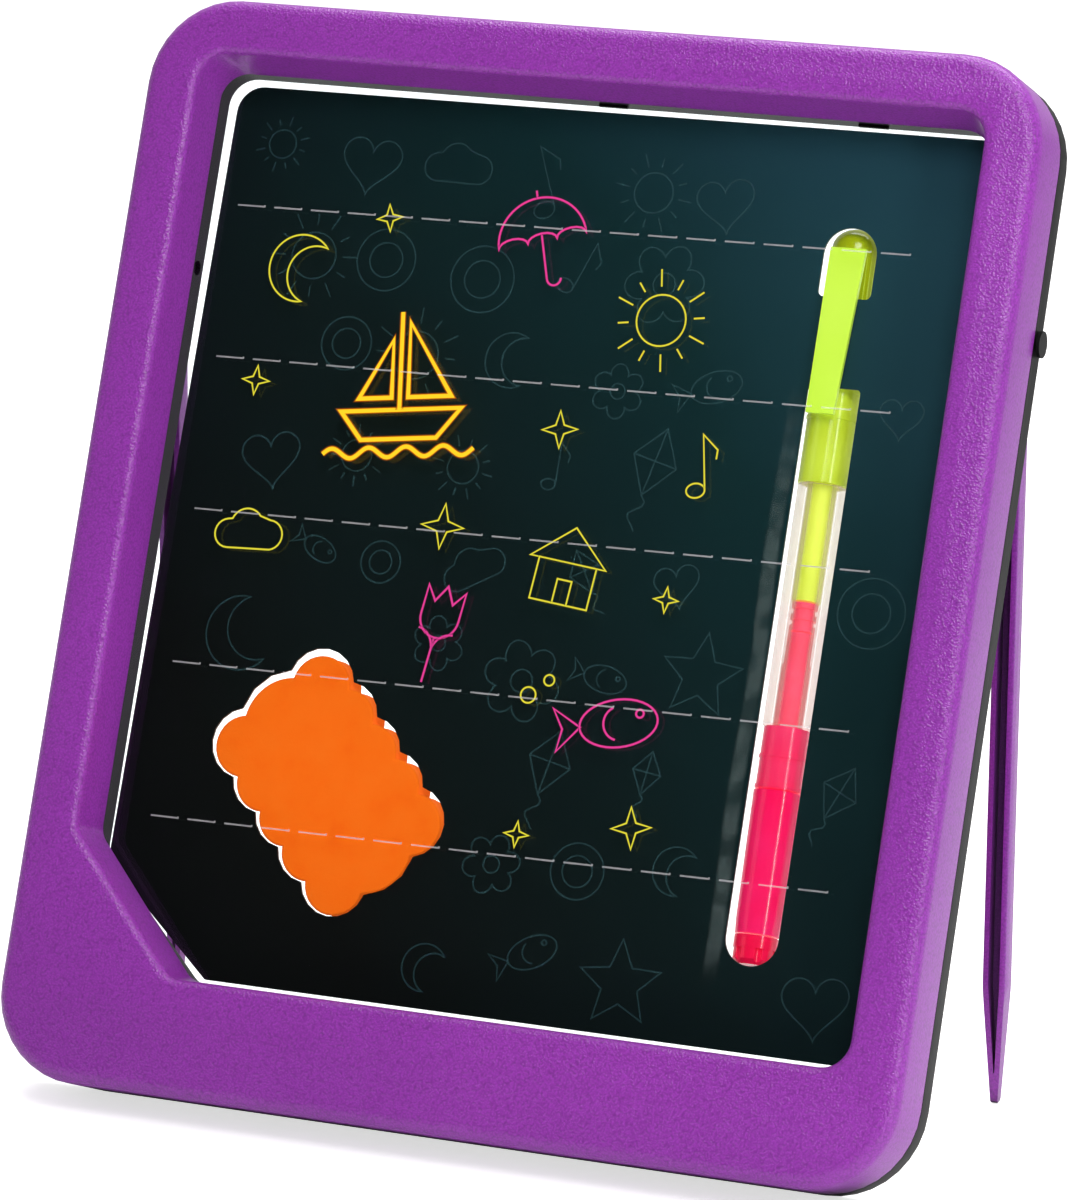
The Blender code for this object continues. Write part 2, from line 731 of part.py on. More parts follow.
def make_card(parent, look):
    bottom = COVER_BOTTOM + CARD_FOOT_GAP
    right = HALF_WIDTH - COVER_SIDE - CARD_SIDE_GAP
    left = -HALF_WIDTH + CARD_INSET
    top = BOARD_HEIGHT - CARD_TOP_DROP
    corners = [
        (left - CARD_SKEW + CARD_CHAMFER_ACROSS, bottom),
        (right, bottom),
        (right, top + CARD_TOP_RISE),
        (left, top),
        (left - CARD_SKEW, bottom + CARD_CHAMFER_UP),
    ]
    outline = rounded_outline(corners, [CARD_SHARP_CORNER] + [CARD_CORNER] * 4)
    half_slot = SLOT_WIDTH / 2
    slot_corners = [
        (SLOT_X - half_slot, SLOT_BOTTOM),
        (SLOT_X + half_slot, SLOT_BOTTOM),
        (SLOT_X + half_slot, SLOT_TOP),
        (SLOT_X - half_slot, SLOT_TOP),
    ]
    round_foot = half_slot * ROUND_END_SHARE
    slot = rounded_outline(slot_corners, [round_foot, round_foot, SLOT_CORNER, SLOT_CORNER])
    half_window = WINDOW_WIDTH / 2
    window_corners = [
        (WINDOW_X - half_window, WINDOW_BOTTOM),
        (WINDOW_X + half_window, WINDOW_BOTTOM),
        (WINDOW_X + half_window, WINDOW_BOTTOM + WINDOW_HEIGHT),
        (WINDOW_X - half_window, WINDOW_BOTTOM + WINDOW_HEIGHT),
    ]
    round_head = half_window * ROUND_END_SHARE
    window = rounded_outline(window_corners, [WINDOW_CORNER, WINDOW_CORNER, round_head, round_head])
    hole = scalloped_outline(PAD_HOLE_GAP, PAD_HOLE_ASIDE, PAD_HOLE_LIFT)
    card = prism([outline, slot, window, hole], CARD_Y, CARD_BACK)
    as_part(card, "insert_card", look, parent)


def make_pad(parent, look):
    front = PANEL_BACK + PAD_SETBACK
    pad = prism([scalloped_outline()], front, front + PAD_THICKNESS)
    as_part(pad, "wiping_pad", look, parent)


def trough_span():
    inner = LEG_X - LEG_WIDTH / 2 - GAP
    outer = LEG_X + LEG_WIDTH / 2 + GAP
    low = PIVOT_Z - LEG_LENGTH - TROUGH_END
    high = PIVOT_Z + LEG_TOP + TROUGH_END
    return inner, outer, low, high


def make_cover(parent, look):
    block = prism([board_outline()], COVER_WALL_Y, BOARD_DEPTH)
    bevel_rim(block, BOARD_DEPTH, COVER_FILLET, EDGE_STEPS)
    cover = as_part(block, "rear_cover", look, parent)
    window = prism([opening_outline(REAR_WINDOW)], COVER_WALL_Y - OVERRUN, BOARD_DEPTH + OVERRUN)
    combine(cover, window, "window")
    pocket = [board_outline(BEZEL_WALL), opening_outline(REAR_WINDOW, COVER_WALL)]
    combine(cover, prism(pocket, COVER_WALL_Y - OVERRUN, SKIN_Y), "pocket")

    inner, outer, low, high = trough_span()
    block_front = TROUGH_Y - TROUGH_FLOOR
    skin_middle = BOARD_DEPTH - COVER_SKIN / 2
    inside = HALF_WIDTH - BEZEL_WALL + GAP
    for name, side in (("left", -1), ("right", 1)):
        outline = [
            (side * (inner - TROUGH_WALL), low - TROUGH_WALL),
            (side * (inside - BEZEL_WALL), low - TROUGH_WALL),
            (side * inside, low + TROUGH_WALL),
            (side * inside, high + TROUGH_WALL),
            (side * (inner - TROUGH_WALL), high + TROUGH_WALL),
        ]
        combine(cover, prism([outline], block_front, skin_middle), f"trough_{name}", "UNION")
    tray_reach = TRAY_HALF_LENGTH + TRAY_WALL
    tray_rise = TRAY_HALF_HEIGHT + TRAY_WALL
    tray = box(
        (-tray_reach, TRAY_FRONT - TRAY_WALL, TRAY_Z - tray_rise),
        (tray_reach, skin_middle, TRAY_Z + tray_rise),
    )
    combine(cover, tray, "tray", "UNION")
    for n, (x, z) in enumerate(SCREW_PLACES, 1):
        foot = rod("Y", (x, 0, z), PAD_RADIUS, SKIN_Y - PAD_HEIGHT, skin_middle)
        combine(cover, foot, f"foot_{n}", "UNION")
    door_x, door_z = door_screw_place()
    boss = rod("Y", (door_x, 0, door_z), DOOR_BOSS_RADIUS, SKIN_Y - DOOR_BOSS_HEIGHT, SKIN_Y + GAP)
    combine(cover, boss, "door_boss", "UNION")
    post_start = CIRCUIT_Y + CIRCUIT_THICKNESS + GAP
    for n, (x, z) in enumerate(circuit_posts(), 1):
        post = rod("Y", (x, 0, z), POST_RADIUS, post_start, skin_middle, SMALL_SIDES)
        combine(cover, post, f"post_{n}", "UNION")
    window_top = BOARD_HEIGHT - COVER_TOP
    for n in range(CATCH_COUNT):
        x = n * CATCH_PITCH
        back = CARD_BACK + CATCH_SETBACK
        catch = box(
            (x - CATCH_WIDTH / 2, back - CATCH_DEPTH, window_top - CATCH_DROP),
            (x + CATCH_WIDTH / 2, back, window_top + COVER_WALL / 2),
        )
        combine(cover, catch, f"catch_{n + 1}", "UNION")

    rim = [board_outline(-OVERRUN), board_outline(BEZEL_WALL + GAP)]
    combine(cover, prism(rim, min(block_front, TRAY_FRONT - TRAY_WALL) - OVERRUN, COVER_RIM_Y), "rim")
    for name, side in (("left", -1), ("right", 1)):
        ends = sorted((side * inner, side * outer))
        cavity = box((ends[0], TROUGH_Y, low), (ends[1], BOARD_DEPTH + OVERRUN, high))
        combine(cover, cavity, f"groove_{name}")
        far = sorted((side * (inner - TROUGH_WALL - OVERRUN), side * (HALF_WIDTH + OVERRUN)))
        bore = rod("X", (0, PIVOT_Y, PIVOT_Z), PIVOT_RADIUS + PIVOT_HOLE_GAP, *far)
        combine(cover, bore, f"pivot_{name}")
    cells = box(
        (-TRAY_HALF_LENGTH, TRAY_FRONT, TRAY_Z - TRAY_HALF_HEIGHT),
        (TRAY_HALF_LENGTH, BOARD_DEPTH + OVERRUN, TRAY_Z + TRAY_HALF_HEIGHT),
    )
    combine(cover, cells, "cells")
    left, right, low, high = door_span()
    rebate_floor = BOARD_DEPTH - DOOR_THICKNESS - GAP
    rebate = box((left, rebate_floor, low), (right, BOARD_DEPTH + OVERRUN, high))
    combine(cover, rebate, "door_rebate")
    hole_start = SKIN_Y - DOOR_BOSS_HEIGHT - OVERRUN
    tiny_hole = TINY_SCREW_RADIUS + GAP
    hole = rod("Y", (door_x, 0, door_z), tiny_hole, hole_start, BOARD_DEPTH, SMALL_SIDES)
    combine(cover, hole, "door_hole")
    shank_start = SKIN_Y - PAD_HEIGHT - OVERRUN
    for n, (x, z) in enumerate(SCREW_PLACES, 1):
        shank = rod("Y", (x, 0, z), SCREW_RADIUS + GAP, shank_start, BOARD_DEPTH, SMALL_SIDES)
        combine(cover, shank, f"screw_hole_{n}")
        head_seat = BOARD_DEPTH - SCREW_SINK - SCREW_HEAD - GAP
        head = rod("Y", (x, 0, z), SCREW_HEAD_RADIUS + GAP, head_seat, BOARD_DEPTH + OVERRUN)
        combine(cover, head, f"counterbore_{n}")
    for n, (x, z) in enumerate(circuit_posts(), 1):
        pilot = rod("Y", (x, 0, z), tiny_hole, CIRCUIT_Y, SKIN_Y - GAP, TINY_SIDES)
        combine(cover, pilot, f"post_hole_{n}")
    x, z = button_place()
    guide = BUTTON_RADIUS + BUTTON_GUIDE_GAP
    combine(cover, rod("Y", (x, 0, z), guide, SKIN_Y - OVERRUN, BOARD_DEPTH + OVERRUN), "button_hole")
    slot_half = WIRE_RADIUS * 2
    for name, side in (("left", -1), ("right", 1)):
        ends = sorted((side * (TRAY_HALF_LENGTH - OVERRUN), side * (tray_reach + OVERRUN)))
        notch = box(
            (ends[0], TRAY_FRONT + GAP, TRAY_Z - slot_half),
            (ends[1], TRAY_FRONT + GAP + 2 * slot_half, TRAY_Z + slot_half),
        )
        combine(cover, notch, f"wire_notch_{name}")


def door_span():
    """Left, right, bottom and top of the door's rebate, with a tongue for its screw."""
    left = -TRAY_HALF_LENGTH - DOOR_LEDGE
    right = TRAY_HALF_LENGTH + DOOR_LEDGE + DOOR_TONGUE
    reach = TRAY_HALF_HEIGHT + DOOR_LEDGE
    return left, right, TRAY_Z - reach, TRAY_Z + reach


def door_screw_place():
    return TRAY_HALF_LENGTH + DOOR_LEDGE + DOOR_TONGUE / 2, TRAY_Z


def circuit_posts():
    left = CIRCUIT_LEFT + POST_INSET
    right = CIRCUIT_LEFT + CIRCUIT_WIDTH - POST_INSET
    high = CIRCUIT_BOTTOM + CIRCUIT_HEIGHT - POST_INSET
    return [(left, high), (right, CIRCUIT_BOTTOM + POST_INSET)]


def button_place():
    return CIRCUIT_LEFT + CIRCUIT_WIDTH / 2, CIRCUIT_BOTTOM + CIRCUIT_HEIGHT / 2


def place_screw(name, x, z, back, sizes, parent, look, turned_over=False):
    """A pan-head cross-recess screw along y, with its head's outer face at the given depth."""
    radius, length, head_radius, head, recess = sizes
    cap = as_part(rod("Y", (0, 0, 0), head_radius, -head, 0), name, look, parent)
    cap.location = (x, back, z)
    if turned_over:
        cap.rotation_euler = (math.pi, 0, 0)
    shank = rod("Y", (0, 0, 0), radius, -head - length, -head / 2, TINY_SIDES)
    combine(cap, shank, "shank", "UNION")
    half = recess / 2
    slot = box((-half, -head / 2, -RECESS_WIDTH / 2), (half, OVERRUN, RECESS_WIDTH / 2))
    combine(cap, slot, "slot")
    cross = slot.copy()
    cross.transform(Matrix.Rotation(math.pi / 2, 4, "Y"))
    combine(cap, cross, "cross")


def make_screws(parent, look):
    case = (SCREW_RADIUS, SCREW_LENGTH, SCREW_HEAD_RADIUS, SCREW_HEAD, RECESS_LENGTH)
    for n, (x, z) in enumerate(SCREW_PLACES, 1):
        place_screw(f"case_screw_{n}", x, z, BOARD_DEPTH - SCREW_SINK, case, parent, look)
    length = SKIN_Y - CIRCUIT_Y - CIRCUIT_THICKNESS - 2 * GAP
    tiny = (TINY_SCREW_RADIUS, length, TINY_HEAD_RADIUS, TINY_HEAD, TINY_RECESS_LENGTH)
    for n, (x, z) in enumerate(circuit_posts(), 1):
        front = CIRCUIT_Y - TINY_HEAD - GAP
        place_screw(f"circuit_screw_{n}", x, z, front, tiny, parent, look, turned_over=True)


def make_leg(name, side, parent, look, pin_look):
    """One U-channel leg, open towards the board, hung on its pivot pin."""
    hinge = bpy.data.objects.new(name + "_hinge", None)
    PARTS.objects.link(hinge)
    hinge.parent = parent
    hinge.location = (side * LEG_X, PIVOT_Y, PIVOT_Z)
    hinge.rotation_euler = (math.radians(LEG_OPEN_DEG), 0, 0)
    half = LEG_WIDTH / 2
    tip = -LEG_LENGTH
    taper_top = tip + LEG_TAPER_LENGTH
    side_corners = [
        (LEG_BACK - 2 * LEG_TIP_RADIUS, tip),
        (LEG_BACK, tip),
        (LEG_BACK, LEG_TOP),
        (-LEG_FRONT, LEG_TOP),
        (-LEG_FRONT, taper_top),
    ]
    tip_round = LEG_TIP_RADIUS * ROUND_END_SHARE
    radii = [tip_round, tip_round, LEG_TOP_RADIUS, LEG_TOP_RADIUS, LEG_TAPER_LENGTH / 2]
    profile = prism([rounded_outline(side_corners, radii)], -half, half, "YZ")
    leg = as_part(profile, name, look, hinge)
    bevel = leg.modifiers.new("edges", "BEVEL")
    bevel.width = LEG_EDGE
    bevel.segments = 2
    bevel.limit_method = "ANGLE"
    bevel.angle_limit = math.radians(RIM_ANGLE_DEG)

    tip_half = half - LEG_SIDE_TAPER
    slope = LEG_TAPER_LENGTH / LEG_SIDE_TAPER
    wide = half + OVERRUN
    front_corners = [
        (-tip_half, tip),
        (tip_half, tip),
        (wide, taper_top + OVERRUN * slope),
        (wide, LEG_TOP + OVERRUN),
        (-wide, LEG_TOP + OVERRUN),
        (-wide, taper_top + OVERRUN * slope),
    ]
    front_outline = rounded_outline(front_corners, [LEG_TIP_CORNER] * 2 + [0] * 4)
    taper = prism([front_outline], -LEG_FRONT - OVERRUN, LEG_BACK + OVERRUN)
    combine(leg, taper, "taper", "INTERSECT")

    channel = half - LEG_WALL
    channel_outline = [
        (-CHANNEL_TIP, tip + LEG_CLOSED_END),
        (CHANNEL_TIP, tip + LEG_CLOSED_END),
        (channel, taper_top),
        (channel, -LEG_TOP * 2),
        (-channel, -LEG_TOP * 2),
        (-channel, taper_top),
    ]
    hollow = prism([channel_outline], -LEG_FRONT - OVERRUN, LEG_BACK - LEG_WALL)
    combine(leg, hollow, "channel")
    hole = PIVOT_RADIUS + PIVOT_HOLE_GAP
    combine(leg, rod("X", (0, 0, 0), hole, -half - OVERRUN, half + OVERRUN), "bore")

    head_start = HALF_WIDTH + GAP
    head_end = head_start + PIVOT_HEAD_HEIGHT
    head_ends = sorted((side * head_start, side * head_end))
    head = rod("X", (0, PIVOT_Y, PIVOT_Z), PIVOT_HEAD_RADIUS, *head_ends)
    pin = as_part(head, name.replace("leg", "pivot_pin"), pin_look, parent)
    inner, _, _, _ = trough_span()
    shaft_end = head_start + PIVOT_HEAD_HEIGHT / 2
    shaft_ends = sorted((side * (inner - TROUGH_WALL + GAP), side * shaft_end))
    combine(pin, rod("X", (0, PIVOT_Y, PIVOT_Z), PIVOT_RADIUS, *shaft_ends), "shaft", "UNION")


def make_batteries(parent, looks):
    x = -TRAY_HALF_LENGTH + CONTACT_THICKNESS + 2 * GAP
    for n in range(1, CELL_COUNT + 1):
        body = rod("X", (0, CELL_Y, TRAY_Z), CELL_RADIUS, x + CELL_NUB, x + CELL_LENGTH)
        cell = as_part(body, f"battery_{n}", looks["battery"], parent)
        nub = rod("X", (0, CELL_Y, TRAY_Z), CELL_NUB_RADIUS, x, x + CELL_NUB * 2, SMALL_SIDES)
        combine(cell, nub, "nub", "UNION")
        x += CELL_LENGTH + GAP
    half = CONTACT_WIDTH / 2
    low = TRAY_Z - half
    high = TRAY_Z + half
    left = -TRAY_HALF_LENGTH + GAP
    front = CELL_Y - half
    back = CELL_Y + half
    plate = box((left, front, low), (left + CONTACT_THICKNESS, back, high))
    as_part(plate, "contact_plate", looks["steel"], parent)
    right = TRAY_HALF_LENGTH - GAP
    plate = box((right - CONTACT_THICKNESS, front, low), (right, back, high))
    spring_plate = as_part(plate, "contact_spring", looks["steel"], parent)
    start = x + SPRING_WIRE
    end = right - CONTACT_THICKNESS / 2
    count = SPRING_TURNS * SPRING_STEPS
    points = []
    for k in range(count + 1):
        angle = 2 * math.pi * k / SPRING_STEPS
        taper = SPRING_RADIUS * (SPRING_TIP_SHARE + (1 - SPRING_TIP_SHARE) * k / count)
        reach = start + (end - start) * k / count
        points.append((reach, CELL_Y + taper * math.cos(angle), TRAY_Z + taper * math.sin(angle)))
    coil = wire(points, "coil", looks["steel"], parent, SPRING_WIRE)
    mesh = coil.data
    bpy.data.objects.remove(coil)
    combine(spring_plate, mesh, "coil", "UNION")


def make_door(parent, looks):
    door = bpy.data.objects.new("door_place", None)
    PARTS.objects.link(door)
    door.parent = parent
    left, right, low, high = door_span()
    front = BOARD_DEPTH - DOOR_THICKNESS
    plate = box((left + GAP, front, low + GAP), (right - GAP, BOARD_DEPTH, high - GAP))
    panel = as_part(plate, "battery_door", looks["black"], door)
    for n in range(DOOR_GRIP_COUNT):
        x = left + DOOR_GRIP_PITCH * (n + 1)
        groove = box(
            (x, BOARD_DEPTH - DOOR_GRIP_DEPTH, low + DOOR_LEDGE),
            (x + DOOR_GRIP_WIDTH, BOARD_DEPTH + OVERRUN, high - DOOR_LEDGE),
        )
        combine(panel, groove, f"grip_{n + 1}")
    x, z = door_screw_place()
    beyond = BOARD_DEPTH + OVERRUN
    hole = rod("Y", (x, 0, z), TINY_SCREW_RADIUS + GAP, front - OVERRUN, beyond, SMALL_SIDES)
    combine(panel, hole, "screw_hole")
    seat = rod("Y", (x, 0, z), TINY_HEAD_RADIUS + GAP, BOARD_DEPTH - TINY_HEAD - GAP, beyond)
    combine(panel, seat, "screw_seat")
    tiny = (TINY_SCREW_RADIUS, COVER_SKIN, TINY_HEAD_RADIUS, TINY_HEAD, TINY_RECESS_LENGTH)
    place_screw("door_screw", x, z, BOARD_DEPTH, tiny, door, looks["steel"])


def make_electronics(parent, looks):
    left = CIRCUIT_LEFT
    back = CIRCUIT_Y + CIRCUIT_THICKNESS
    board = box(
        (left, CIRCUIT_Y, CIRCUIT_BOTTOM),
        (left + CIRCUIT_WIDTH, back, CIRCUIT_BOTTOM + CIRCUIT_HEIGHT),
    )
    circuit = as_part(board, "circuit_board", looks["circuit"], parent)
    for n, (x, z) in enumerate(circuit_posts(), 1):
        hole_radius = TINY_SCREW_RADIUS + GAP
        hole = rod("Y", (x, 0, z), hole_radius, CIRCUIT_Y - OVERRUN, back + OVERRUN, SMALL_SIDES)
        combine(circuit, hole, f"hole_{n}")
    x, z = button_place()
    half = SWITCH_SIZE / 2
    start = back + GAP
    body = box((x - half, start, z - half), (x + half, start + SWITCH_HEIGHT, z + half))
    switch = as_part(body, "tact_switch", looks["black"], parent)
    plunger_end = start + SWITCH_HEIGHT + PLUNGER_HEIGHT
    plunger = rod("Y", (x, 0, z), PLUNGER_RADIUS, start + SWITCH_HEIGHT / 2, plunger_end)
    combine(switch, plunger, "plunger", "UNION")

    place = bpy.data.objects.new("button_place", None)
    PARTS.objects.link(place)
    place.parent = parent
    flange_back = SKIN_Y - GAP
    flange_front = flange_back - BUTTON_FLANGE_THICKNESS
    stem_front = plunger_end + BUTTON_TRAVEL + GAP
    tip = BOARD_DEPTH + BUTTON_PROUD
    cap = rod("Y", (x, 0, z), BUTTON_RADIUS, flange_front, tip, WIDE_SIDES)
    bevel_rim(cap, tip, BUTTON_FILLET, EDGE_STEPS)
    button = as_part(cap, "mode_button", looks["button"], place)
    reach = BUTTON_RADIUS + BUTTON_FLANGE
    flange = rod("Y", (x, 0, z), reach, flange_front, flange_back, WIDE_SIDES)
    combine(button, flange, "flange", "UNION")
    stem = rod("Y", (x, 0, z), PLUNGER_RADIUS, stem_front, flange_back)
    combine(button, stem, "stem", "UNION")

    chip_z = CIRCUIT_BOTTOM + CIRCUIT_HEIGHT / 2
    chip = box(
        (x - CHIP_WIDTH / 2, CIRCUIT_Y - GAP - CHIP_THICKNESS, chip_z - CHIP_HEIGHT / 2),
        (x + CHIP_WIDTH / 2, CIRCUIT_Y - GAP, chip_z + CHIP_HEIGHT / 2),
    )
    as_part(chip, "driver_chip", looks["black"], parent)


def strip_bottom():
    return TRAY_Z + TRAY_HALF_HEIGHT + TRAY_WALL + GAP


def make_light_strip(parent, looks):
    middle = PANEL_Y + PANEL_THICKNESS / 2
    low = strip_bottom()
    strip = box(
        (-STRIP_LENGTH / 2, middle - STRIP_WIDTH / 2, low),
        (STRIP_LENGTH / 2, middle + STRIP_WIDTH / 2, low + STRIP_THICKNESS),
    )
    as_part(strip, "light_strip", looks["circuit"], parent)
    pitch = STRIP_LENGTH / LAMP_COUNT
    foot = low + STRIP_THICKNESS + GAP
    for n in range(LAMP_COUNT):
        x = (pitch - STRIP_LENGTH) / 2 + pitch * n
        lamp = box(
            (x - LAMP_WIDTH / 2, middle - LAMP_DEPTH / 2, foot),
            (x + LAMP_WIDTH / 2, middle + LAMP_DEPTH / 2, foot + LAMP_HEIGHT),
        )
        as_part(lamp, f"lamp_{n + 1}", looks["lamp"], parent)


def make_wires(parent, looks):
    """Two wires from the battery contacts to the circuit board, and two on to the light strip."""
    notch_y = TRAY_FRONT + GAP + 2 * WIRE_RADIUS
    run_y = TRAY_FRONT - TRAY_WALL - GAP - 2 * WIRE_RADIUS
    pad_y = CIRCUIT_Y - GAP
    pads = [CIRCUIT_LEFT + WIRE_BEND * n for n in (1, 2, 3, 4)]
    pad_z = CIRCUIT_BOTTOM + WIRE_BEND
    turn_z = CIRCUIT_BOTTOM - WIRE_BEND
    outside = TRAY_HALF_LENGTH + TRAY_WALL + WIRE_BEND
    positive = [
        (-TRAY_HALF_LENGTH, notch_y, TRAY_Z),
        (-outside, notch_y, TRAY_Z),
        (-outside, notch_y, turn_z),
        (pads[2], notch_y, turn_z),
        (pads[2], notch_y, pad_z),
        (pads[2], pad_y, pad_z),
    ]
    wire(positive, "battery_wire_red", looks["red_wire"], parent)
    beside = outside + WIRE_LANE
    negative = [
        (TRAY_HALF_LENGTH, notch_y, TRAY_Z),
        (outside, notch_y, TRAY_Z),
        (outside, run_y, TRAY_Z),
        (-beside, run_y, TRAY_Z),
        (-beside, run_y, turn_z),
        (pads[1], run_y, turn_z),
        (pads[1], run_y, pad_z),
        (pads[1], pad_y, pad_z),
    ]
    wire(negative, "battery_wire_black", looks["black_wire"], parent)
    strip_z = strip_bottom() + STRIP_THICKNESS / 2
    over_y = pad_y - WIRE_BEND
    start = -STRIP_LENGTH / 2 - GAP
    routes = (
        ("light_wire_red", "red_wire", pads[3], 0, -WIRE_SPREAD),
        ("light_wire_black", "black_wire", pads[0], WIRE_RISE, WIRE_SPREAD),
    )
    for name, look, pad, rise, shift in routes:
        y = PANEL_Y + PANEL_THICKNESS / 2 + shift
        route = [
            (start, y, strip_z),
            (start - WIRE_BEND, y, strip_z),
            (start - WIRE_BEND * 2, over_y, strip_z + rise),
            (pad, over_y, strip_z + rise),
            (pad, pad_y, strip_z + rise),
        ]
        wire(route, name, looks[look], parent)


def make_pen(parent, looks):
    """The two-ended marker, along its own z axis from its lower end."""
    pen = bpy.data.objects.new("pen_place", None)
    PARTS.objects.link(pen)
    pen.parent = parent
    pen.location = (PEN_BOTTOM_X, PEN_BOTTOM_Y, PEN_FOOT)
    along = Vector((PEN_TOP_X - PEN_BOTTOM_X, PEN_TOP_Y - PEN_BOTTOM_Y, PEN_LENGTH)).normalized()
    pen.rotation_euler = (-math.asin(along.y), math.atan2(along.x, along.z), 0)
    make_barrel(pen, looks)
    make_inks(pen, looks)
    make_yellow_cap(pen, looks["lime"])
    make_pink_end(pen, looks["pink"])


def necks():
    """The heights at which the barrel's two necks end."""
    return HOLDER_TOP - NECK_REACH, YELLOW_BOTTOM + NECK_REACH


def make_barrel(pen, looks):
    low_neck, high_neck = necks()
    low_radius = HOLDER_RADIUS - HOLDER_WALL - GAP
    barrel = [
        (BARREL_BORE, high_neck),
        (NECK_RADIUS, high_neck),
        (NECK_RADIUS, YELLOW_BOTTOM - GAP),
        (PEN_RADIUS, YELLOW_BOTTOM - GAP),
        (PEN_RADIUS, HOLDER_TOP + GAP),
        (low_radius, HOLDER_TOP + GAP),
        (low_radius, low_neck),
        (BARREL_BORE, low_neck),
        (BARREL_BORE, high_neck),
    ]
    turned(barrel, "pen_barrel", looks["frosted"], pen)


def make_inks(pen, looks):
    low_neck, high_neck = necks()
    yellow_ink = [
        (0, high_neck),
        (INK_RADIUS, high_neck),
        (INK_RADIUS, INK_MEETING),
        (0, INK_MEETING),
    ]
    turned(yellow_ink, "ink_yellow", looks["yellow_ink"], pen, ROUND_SIDES)

    top = INK_MEETING - GAP
    rib = DIVIDER_LENGTH / (2 * DIVIDER_RIBS - 1)
    divider = [(0, top)]
    for n in range(DIVIDER_RIBS):
        start = top - 2 * n * rib
        divider.append((DIVIDER_RADIUS + DIVIDER_RIB, start))
        divider.append((DIVIDER_RADIUS + DIVIDER_RIB, start - rib))
        if n < DIVIDER_RIBS - 1:
            divider.append((DIVIDER_RADIUS, start - rib))
            divider.append((DIVIDER_RADIUS, start - 2 * rib))
    divider.append((0, top - DIVIDER_LENGTH))
    turned(divider, "ink_divider", looks["pink"], pen, ROUND_SIDES)

    pink_top = top - DIVIDER_LENGTH - GAP
    step = pink_top - PINK_NARROW_LENGTH
    pink_ink = [
        (0, pink_top),
        (PINK_NARROW_RADIUS, pink_top),
        (PINK_NARROW_RADIUS, step),
        (INK_RADIUS, step),
        (INK_RADIUS, low_neck),
        (0, low_neck),
    ]
    turned(pink_ink, "ink_pink", looks["pink_ink"], pen, ROUND_SIDES)

    base = high_neck + GAP
    tip = base + NIB_LENGTH
    upper_nib = [
        (0, tip),
        (NIB_TIP_RADIUS, tip),
        (NIB_RADIUS, tip - NIB_CONE_LENGTH),
        (NIB_RADIUS, base),
        (0, base),
    ]
    turned(upper_nib, "nib_yellow", looks["yellow_ink"], pen, ROUND_SIDES)
    base = low_neck - GAP
    tip = base - NIB_LENGTH
    lower_nib = [
        (0, base),
        (NIB_RADIUS, base),
        (NIB_RADIUS, tip + NIB_CONE_LENGTH),
        (NIB_TIP_RADIUS, tip),
        (0, tip),
    ]
    turned(lower_nib, "nib_pink", looks["pink_ink"], pen, ROUND_SIDES)


def make_yellow_cap(pen, look):
    """The upper cap: a dome, two rings, a plain skirt and a flat clip that stands off in front."""
    dome_base = PEN_LENGTH - DOME_HEIGHT
    cap = [(0, PEN_LENGTH)]
    for k in range(1, DOME_STEPS + 1):
        angle = math.pi / 2 * k / DOME_STEPS
        cap.append((YELLOW_RADIUS * math.sin(angle), dome_base + DOME_HEIGHT * math.cos(angle)))
    for ring in (YELLOW_COLLAR, YELLOW_RING):
        cap += ring_step(YELLOW_RADIUS, ring)
    cap += [
        (YELLOW_RADIUS, YELLOW_BOTTOM),
        (CAP_BORE, YELLOW_BOTTOM),
        (CAP_BORE, dome_base - CAP_END),
        (0, dome_base - CAP_END),
    ]
    yellow = turned(cap, "yellow_cap", look, pen)
    clip_top = PEN_LENGTH - CLIP_TOP_DROP
    clip_tip = PEN_LENGTH - CLIP_TIP_DROP
    outline = [
        (CLIP_TIP_SHIFT - CLIP_TIP_WIDTH / 2, clip_tip),
        (CLIP_TIP_SHIFT + CLIP_TIP_WIDTH / 2, clip_tip),
        (CLIP_TOP_SHIFT + CLIP_TOP_WIDTH / 2, clip_top),
        (CLIP_TOP_SHIFT - CLIP_TOP_WIDTH / 2, clip_top),
    ]
    front = -CLIP_STANDOFF - CLIP_THICKNESS
    combine(yellow, prism([outline], front, -CLIP_STANDOFF), "clip", "UNION")
    half = CLIP_ROOT_WIDTH / 2
    root = box(
        (CLIP_TOP_SHIFT - half, front + CLIP_THICKNESS / 2, clip_top - CLIP_ROOT_HEIGHT),
        (CLIP_TOP_SHIFT + half, -YELLOW_RADIUS / 2, clip_top - GAP),
    )
    combine(yellow, root, "clip_root", "UNION")


def ring_step(radius, height):
    """The profile of a low ring whose upper edge is at a height."""
    return [
        (radius, height),
        (radius + RING_STEP, height),
        (radius + RING_STEP, height - RING_LENGTH),
        (radius, height - RING_LENGTH),
    ]


